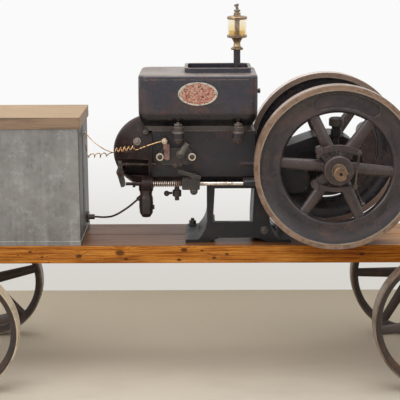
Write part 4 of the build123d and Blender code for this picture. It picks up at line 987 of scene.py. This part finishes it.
# Name plate: an oval of enamelled sheet with a raised cream border, held by four rivets. Its
# field is worn to a mottle of red-orange and cream.
(plate_left, plate_face, plate_foot), (plate_right, _, plate_top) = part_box("name_plate")
plate_x, plate_z = (plate_left + plate_right) / 2, (plate_foot + plate_top) / 2
plate_half = (plate_right - plate_x, plate_top - plate_z)
pin_share = 0.78      # how far out the rivets stand
border_sunk = 0.0002  # how far the border is let into the plate
plate_enamel, tree, place = new_finish("plate_enamel")
centred = measured_from(tree, place, (plate_x, 0.0, plate_z))
rounded = stretched(tree, centred, (1 / plate_half[0], 0.0, 1 / plate_half[1]))
oval = length_of(tree, rounded)
field = patchy(tree, place, size=190.0, level=0.5, softness=0.05)
enamel = tint(tree, field, shade(192, 162, 142), shade(168, 92, 74))
chips = add_node(tree, "TexVoronoi", {"Vector": place, "Scale": 165.0}).outputs["Distance"]
chipped = times(tree, ramp(tree, chips, 0.42, 0.3), ramp(tree, noise(tree, place, 60, 3), 0.46, 0.54))
enamel = tint(tree, chipped, enamel, shade(58, 34, 32))
grime = patchy(tree, place, size=120.0, level=0.56, softness=0.06)
cream = tint(tree, grime, shade(200, 192, 178), shade(128, 112, 98))
surface(tree, tint(tree, ramp(tree, oval, 0.86, 0.89), enamel, cream), 0.34,
        maths(tree, "SUBTRACT", noise(tree, place, 300), chipped), depth=0.0004, strength=0.5,
        rounding=0.0006)
dress(plate_enamel, "name_plate")
border = turned([(0.90, 0.0), (0.91, 0.0008), (0.94, 0.0012), (0.98, 0.0009), (0.99, 0.0), (0.90, 0.0)], 72)
border.scale = (*plate_half, 1)
fix_place(border)
border = repeated(border, [(plate_x, plate_face + border_sunk, plate_z)], nearward)
pin_spots = [(plate_x + pin_share * plate_half[0] * x, plate_face, plate_z + pin_share * plate_half[1] * z)
             for x, z in ((-1, 0), (1, 0), (0, 1), (0, -1))]
pin = turned([(0.0, -0.0004), (0.0022, -0.0004), (0.002, 0.0008), (0.0011, 0.0014), (0.0, 0.0015)], 14)
pins = repeated(pin, pin_spots, nearward)
settle(joined([border, pins]), "plate_border", plate_enamel, "truck", "plate_paint")

# Oiler: a sight-feed cup of aged brass on a steel pipe. Its ribbed caps hold a glass with
# amber oil round the feed tube, and a toggle on top opens the feed.
glass_low, glass_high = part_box("oiler_glass")
oiler_x = (glass_low[0] + glass_high[0]) / 2
glass_rise = 0.047  # from the cup's foot up to its glass
oiler_foot = glass_low[2] - glass_rise
pipe_below = (1.0274, 1.0268)  # Z, from the first trace to the full tone
tube_above = (1.077, 1.078)
tube_below = (1.12, 1.119)
toggle_above = (1.1420, 1.1440)
oiler_brass, tree, place = new_finish("oiler_brass")
tarnish = patchy(tree, place, size=60.0, level=0.52, softness=0.1)
edges = worn_at(tree, place, reach=0.0015, wear=0.8)
brass = tint(tree, tarnish, shade(180, 154, 122), shade(98, 80, 62))
brass = tint(tree, edges, brass, shade(222, 200, 172))
rise = part_of(tree, place, "Z")
pipe = ramp(tree, rise, *pipe_below)
feed_tube = times(tree, ramp(tree, rise, *tube_above), ramp(tree, rise, *tube_below))
brass = tint(tree, feed_tube, brass, shade(168, 152, 144), share=0.85)
dull = larger(tree, pipe, feed_tube)
toggle = ramp(tree, rise, *toggle_above)
brass = tint(tree, toggle, brass, shade(126, 122, 108), share=0.8)
surface(tree, tint(tree, pipe, brass, shade(56, 49, 52)), ramp(tree, tarnish, 0, 1, 0.28, 0.52),
        noise(tree, place, 500), depth=0.0002, strength=0.4, rounding=0.0006,
        metallic=ramp(tree, dull, 0, 1, 0.7, 0.2))
dress(oiler_brass, "oiler_lever")


def ribs(start):
    """The outline of the ribs round a cap, from a height up."""
    return [(0.0320 if k % 2 else 0.0309, start + 0.0009 * k) for k in range(9)]


body_outline = [(0.0, -0.22), (0.0108, -0.22), (0.0108, -0.0006), (0.018, -0.0006), (0.0188, 0.0002),
                (0.0194, 0.0012), (0.0194, 0.0042), (0.0182, 0.0054), (0.013, 0.009), (0.0108, 0.014),
                (0.0104, 0.021), (0.0114, 0.024), (0.0146, 0.03), (0.0178, 0.0352), (0.0186, 0.0366),
                (0.0296, 0.0374)] + ribs(0.0386) + [(0.03, 0.0468), (0.0, 0.047)]
cap_outline = ([(0.0, 0.094), (0.03, 0.094)] + ribs(0.0948)
               + [(0.0306, 0.1032), (0.024, 0.1046), (0.014, 0.1056), (0.012, 0.1066), (0.012, 0.1078),
                  (0.0094, 0.1084), (0.0092, 0.1098), (0.0112, 0.1106), (0.0114, 0.1136), (0.0106, 0.1146),
                  (0.0064, 0.1152), (0.006, 0.117), (0.0096, 0.118), (0.0102, 0.119), (0.0102, 0.1226),
                  (0.0094, 0.1238), (0.0, 0.1242)])
tube_outline = [(0.0, 0.0465), (0.0088, 0.0465), (0.0088, 0.0500), (0.0078, 0.0508), (0.0078, 0.0890),
                (0.0088, 0.0898), (0.0088, 0.0945), (0.0, 0.0945)]
oiler_parts = [turned(outline, 40) for outline in (body_outline, cap_outline, tube_outline)]
for part in oiler_parts:
    part.location = (oiler_x, 0.0, oiler_foot)
for side in (-1, 1):
    ear = block_piece((oiler_x, side * 0.0046, oiler_foot + 0.126), (0.009, 0.003, 0.01), rounding=0.0012)
    oiler_parts.append(ear)
toggle_pin = turned([(0.0, 0.0), (0.0036, 0.0), (0.0038, 0.0015), (0.0019, 0.0019), (0.0019, 0.0141),
                     (0.0038, 0.0145), (0.0036, 0.0160), (0.0, 0.0160)], 14)
oiler_parts.append(repeated(toggle_pin, [(oiler_x, 0.0080, oiler_foot + 0.1290)], nearward))
settle(joined(oiler_parts), "oiler_cup", oiler_brass, "truck", "oiler_brass", "oiler_body")

oiler_glass, tree, place = new_finish("oiler_glass")
rising = ramp(tree, part_of(tree, place, "Z"), glass_low[2], glass_high[2])
surface(tree, tint(tree, rising, shade(248, 230, 190), shade(252, 246, 232)), 0.05, noise(tree, place, 120),
        depth=0.0002, strength=0.2, metallic=0.0, transmission_weight=1.0)
dress(oiler_glass, "oiler_glass")
amber_oil, tree, place = new_finish("amber_oil")
surface(tree, tint(tree, noise(tree, place, 90), shade(236, 218, 158), shade(222, 202, 134)), 0.05,
        metallic=0.0, transmission_weight=1.0)
oil = turned([(0.0094, 0.0482), (0.0252, 0.0482), (0.0252, 0.0584), (0.0246, 0.0590), (0.0100, 0.0587),
              (0.0094, 0.0590), (0.0094, 0.0482)], 40)
oil.location = (oiler_x, 0.0, oiler_foot)
settle(oil, "oiler_oil", amber_oil, "truck", "oiler_glass")


# Push rod and valve gear: a polished steel rod with its trip block, and light coil springs
# round the rod and round the valve's stem.
def bright_steel(name, light, stain, level, dark_stretch=None):
    """Rubbed steel with brown stains and fine turning lines, made darker along a stretch of it."""
    finish, tree, place = new_finish(name)
    stained = patchy(tree, place, size=34.0, level=level, softness=0.1)
    lines = streaky(tree, place, (500, 30, 30), 4)
    colour = tint(tree, stained, shade(*light), shade(*stain))
    if dark_stretch:
        along = part_of(tree, place, "X")
        inside = times(tree, ramp(tree, along, dark_stretch[0] - 0.004, dark_stretch[0]),
                       ramp(tree, along, dark_stretch[1] + 0.004, dark_stretch[1]))
        colour = tint(tree, inside, colour, shade(52, 42, 40))
    surface(tree, colour, ramp(tree, stained, 0, 1, 0.24, 0.5), lines, depth=0.0001, strength=0.3,
            rounding=0.0006, metallic=ramp(tree, stained, 0, 1, 0.95, 0.6))
    return finish


def coil(radius, wire, length, turns):
    """A coil spring along Z that starts at zero, its wire wound by a screw modifier."""
    deselect()
    bpy.ops.mesh.primitive_circle_add(vertices=8, radius=wire, location=(radius, 0, wire),
                                      rotation=(math.pi / 2, 0, 0))
    piece = bpy.context.object
    fix_place(piece)
    wound = piece.modifiers.new("wound", "SCREW")
    wound.axis = "Z"
    wound.screw_offset = (length - 2 * wire) / turns
    wound.iterations = turns
    wound.steps = 18
    wound.render_steps = 18
    bpy.ops.object.modifier_apply(modifier="wound")
    edit_all(piece)
    bpy.ops.mesh.fill_holes(sides=12)
    face_outward()
    return piece


rod_steel = bright_steel("rod_steel", (214, 204, 194), (140, 118, 98), level=0.55,
                         dark_stretch=(-0.2395, -0.064))
spring_steel = bright_steel("spring_steel", (206, 190, 178), (120, 96, 80), level=0.52)
dress(rod_steel, "push_rod")
stem_steel = bright_steel("stem_steel", (96, 84, 76), (62, 50, 44), level=0.46)
dress(stem_steel, "valve_stem")
gear_iron = fitting_iron("gear_iron", (44, 43, 42), (58, 54, 50), (76, 60, 50), (128, 116, 104),
                         rough=0.34, dust=0.16)
dress(gear_iron, "trip_block", "rocker_arm")
rod_spring = repeated(coil(radius=0.0089, wire=0.0015, length=0.0918, turns=15),
                      [(-0.1575, -0.118, 0.6215)], rightward)
settle(rod_spring, "rod_coil", spring_steel, "truck", "bright_steel", "rod_spring")
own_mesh(rod_spring)
valve_spring = repeated(coil(radius=0.0074, wire=0.001, length=0.0655, turns=11),
                        [(-0.2343, -0.101, 0.68)], rightward)
settle(valve_spring, "valve_coil", stem_steel, "truck", "bright_steel")
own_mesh(valve_spring)
pin_head = turned([(0.0, -0.001), (0.0052, -0.001), (0.0052, 0.0014), (0.004, 0.003), (0.0, 0.0034)], 18)
pin_heads = repeated(pin_head, [(-0.257, -0.125, 0.688), (-0.259, -0.125, 0.6745)], nearward)
settle(pin_heads, "rocker_pins", bolt_iron, "rocker", "engine_iron")
trip_screw = repeated(hex_fastener(0.007, 0.005), [(-0.0277, -0.135, 0.6005)], nearward)
settle(trip_screw, "trip_screw", bolt_iron, "rod", "engine_iron")


# Igniter: a flanged plug in the block's side, held by two nuts on wide washers, with a
# hammer barrel and a moulded arm that carries the wire's terminal.
def barrel_marks(tree, place, colour):
    """The hammer's barrel is paler than its flange."""
    above = ramp(tree, part_of(tree, place, "Z"), 0.7135, 0.7165)
    inward = ramp(tree, part_of(tree, place, "Y"), -0.1075, -0.1085)
    right = ramp(tree, part_of(tree, place, "X"), -0.085, -0.080)
    mask = times(tree, times(tree, above, inward), right)
    return tint(tree, mask, colour, shade(104, 98, 91), share=0.85)


igniter_iron = fitting_iron("igniter_iron", (38, 37, 38), (50, 46, 44), (74, 56, 48), (138, 124, 110),
                            wear=0.8, extra=barrel_marks)
dress(igniter_iron, "igniter_plate")
igniter_nuts = [(x, -0.117, 0.706) for x in (-0.133, -0.033)]
collar = turned([(0.0068, -0.0012), (0.0124, -0.0012), (0.0126, 0.0006), (0.0118, 0.0022), (0.008, 0.0024),
                 (0.0068, 0.0012), (0.0068, -0.0012)], 28)
collars = repeated(collar, igniter_nuts, nearward)
collar_steel = bright_steel("collar_steel", (226, 210, 194), (164, 138, 120), level=0.58)
settle(collars, "igniter_collars", collar_steel, "truck", "bright_steel")
stud_end = turned([(0.0, -0.001), (0.0054, -0.001), (0.0054, 0.0032), (0.004, 0.005), (0.0, 0.0054)], 18)
settle(repeated(stud_end, igniter_nuts, nearward), "igniter_studs", bolt_iron, "truck", "engine_iron")
insulator, tree, place = new_finish("insulator")
aged = patchy(tree, place, size=70.0, level=0.52, softness=0.12)
surface(tree, tint(tree, aged, shade(142, 108, 98), shade(98, 70, 60)), 0.45, noise(tree, place, 600),
        depth=0.0003, strength=0.4, rounding=0.001)
dress(insulator, "igniter_terminal")
terminal_brass = fitting_iron("terminal_brass", (206, 186, 158), (176, 150, 122), (128, 98, 72),
                              (236, 222, 200), rough=0.3, rust_level=0.62, wear=1.0, rounding=0.0006,
                              metallic=0.5)
terminal_nut = repeated(hex_fastener(0.0074, 0.005, washer=0.0088, stud=0.003, reach=0.0036),
                        [(-0.118, -0.128, 0.757)], nearward)
settle(terminal_nut, "terminal_nut", terminal_brass, "truck", "oiler_brass")

# Mixer, fuel pipe and drain cock: dark cast fittings with screwed joints, and a blackened
# pipe that feeds the mixer.
tube_steel = fitting_iron("tube_steel", (78, 66, 58), (60, 50, 45), (96, 72, 56), (150, 132, 116),
                          rough=0.34, dust=0.25)
dress(tube_steel, "fuel_pipe")
pipe_iron = fitting_iron("pipe_iron", (40, 35, 35), (60, 48, 44), (84, 60, 48), (128, 114, 100), rough=0.4,
                         dust=0.25)
dress(pipe_iron, "mixer", "drain_cock", "cock_handle")

# Flywheels: cast iron with a turned ring round the rim, brown with thin rust and pale at its
# inner edge, and worn dark paint on the dished web, spokes and hub. The web is painted darker as
# shade beside the ring and where the spokes meet the rim, the hub is darker, and the bright rubbed
# edges are partly wear and partly painted highlight. A key holds each one.
ring_start = 0.2372
spoke_end = (0.172, 0.16)  # distances from the shaft, from the first trace to the full tone
# painted shade beside the ring and where the spokes meet the rim, and a darker hub
web_shade = (0.222, 0.2365)
spoke_shade = (0.180, 0.168)
hub_dark = (0.075, 0.045)
turned_from = (0.236, 0.2375)


def wheel_marks(pale, worn, line, face_worn=None):
    """The turned ring and its pale inner line, painted shade beside it and by the rim, and a darker hub."""
    ring = tread(crank_x, crank_z, ring_start, pale, worn)

    def over(tree, place, colour):
        distance, angle = from_axis(tree, place, crank_x, crank_z)
        swept = add_node(tree, "CombineXYZ", {0: times(tree, distance, 28.0),
                                              1: times(tree, angle, 1.6)}).outputs[0]
        cast = noise(tree, swept, 1.0, 4)
        colour = tint(tree, ramp(tree, cast, 0.50, 0.66, 0.0, 0.75), colour, shade(30, 29, 32))
        colour = tint(tree, ramp(tree, cast, 0.44, 0.34, 0.0, 0.45), colour, shade(86, 66, 62))
        spokes = times(tree, ramp(tree, distance, *spoke_end), ramp(tree, cast, 0.3, 0.6, 0.45, 0.9))
        colour = tint(tree, spokes, colour, shade(106, 87, 83), share=0.9)
        # painted shade by the ring and the rim's inner edge; the hub is made darker too
        spoke_shade_and_dark_hub = larger(tree, ramp(tree, distance, *spoke_shade, 0.0, 0.7),
                             ramp(tree, distance, *hub_dark, 0.0, 0.8))
        shade_and_dark_hub = larger(tree, ramp(tree, distance, *web_shade), spoke_shade_and_dark_hub)
        colour = tint(tree, shade_and_dark_hub, colour, shade(30, 26, 27), share=0.8)
        colour = ring(tree, place, colour)
        if face_worn:
            turned_face = times(tree, faces(tree, "Y", -0.4, -0.8), ramp(tree, distance, *turned_from))
            colour = tint(tree, turned_face, colour, face_worn, share=0.85)
        inner = times(tree, ramp(tree, distance, ring_start - 0.001, ring_start),
                      ramp(tree, distance, ring_start + 0.0036, ring_start + 0.0022))
        broken = ramp(tree, noise(tree, place, 16, 4), 0.42, 0.62, 0.10, 0.8)
        return tint(tree, times(tree, inner, broken), colour, line)
    return over


# The bright rubbed edges, as along the pocket, are partly wear and partly painted highlight.
near_marks = wheel_marks(shade(150, 124, 104), shade(112, 86, 70), shade(178, 162, 142))
near_iron = cast_iron("near_flywheel_iron", (48, 43, 46), (62, 53, 53), (80, 58, 52), (134, 120, 112),
                      rough=0.27, rust_level=0.58, wear=1.0, dust=0.04, dust_colour=(100, 92, 88),
                      rounding=0.0022, extra=near_marks)
dress(near_iron, "near_flywheel")
far_marks = wheel_marks(shade(206, 189, 176), shade(160, 132, 115), shade(150, 132, 118),
                        shade(112, 88, 76))
far_iron = cast_iron("far_flywheel_iron", (40, 38, 44), (50, 45, 48), (76, 56, 50), (150, 142, 136),
                     rough=0.27, rust_level=0.6, wear=1.0, dust=0.06, dust_colour=(100, 92, 88),
                     rounding=0.002, extra=far_marks)
dress(far_iron, "far_flywheel")
key_angle = math.radians(-16)
key_radius = 0.0265
key_size = (0.01, 0.018, 0.0095)
key_turn = Matrix.Rotation(-key_angle, 3, "Y").to_quaternion()
keys = []
for side in (-1, 1):
    key = block_piece((0, 0, 0), key_size, rounding=0.0012)
    pick(key, "FACE", lambda middle, way: way.y * side > 0.9)
    bpy.ops.transform.resize(value=(1.25, 1, 1.15), center_override=(0, side * key_size[1] / 2, 0))
    bpy.ops.object.mode_set(mode="OBJECT")
    key_place = Vector((crank_x + key_radius * math.cos(key_angle), side * 0.2545,
                        crank_z + key_radius * math.sin(key_angle)))
    key.matrix_world = Matrix.LocRotScale(key_place, key_turn, None)
    keys.append(key)
settle(joined(keys), "wheel_keys", bolt_iron, "crank", "bright_steel")


# Crankshaft: turned steel, gone copper-brown, with a small centre hole from the lathe in each
# end, shown as a dark disc of painted shade. It carries both flywheels.
def centre_hole_shade(tree, place, colour):
    """A dark disc of painted shade for the centre hole in each end."""
    distance, _ = from_axis(tree, place, crank_x, crank_z)
    return tint(tree, ramp(tree, distance, 0.0058, 0.0046), colour, shade(24, 18, 15))


shaft_iron = cast_iron("shaft_steel", (140, 112, 88), (116, 90, 70), (84, 60, 46), (206, 182, 152),
                       rough=0.34, rust_level=0.54, wear=0.8, dust=0.1, grain=900, rounding=0.0008,
                       extra=centre_hole_shade, metallic=0.55)
dress(shaft_iron, "crankshaft")

# Governor: two curved arms pinned to the near wheel's hub, a thin link between them, and a
# tail rod with a small weight on the lower arm.
governor_iron = cast_iron("governor_iron", (50, 42, 43), (64, 54, 52), (84, 60, 54), (124, 108, 98),
                          rough=0.32, rust_level=0.57, wear=0.8, dust=0.1, rounding=0.0014)
dress(governor_iron, "governor_weight", "governor_lever")
dull_steel = bright_steel("dull_steel", (118, 106, 96), (70, 56, 48), level=0.46)
dress(dull_steel, "governor_link")
link_ends = [(0.473, -0.2225, 0.734), (0.462, -0.2225, 0.63)]
link_nuts = repeated(hex_fastener(0.0058, 0.004), link_ends, nearward)
settle(link_nuts, "link_nuts", bolt_iron, "link", "bright_steel")
tail_start = Vector((0.4655, -0.2090, 0.6245))
tail_end = Vector((0.4860, -0.2090, 0.5800))
tail_length = (tail_end - tail_start).length
tail = turned([(0.0, 0.0), (0.0019, 0.0), (0.0019, tail_length), (0.0046, tail_length + 0.0006),
               (0.0072, tail_length + 0.0040), (0.0074, tail_length + 0.0080),
               (0.0050, tail_length + 0.0120), (0.0, tail_length + 0.0130)], 18)
tail = repeated(tail, [tail_start], tail_end - tail_start)
settle(tail, "governor_tail", dull_steel, "lever", "bright_steel")
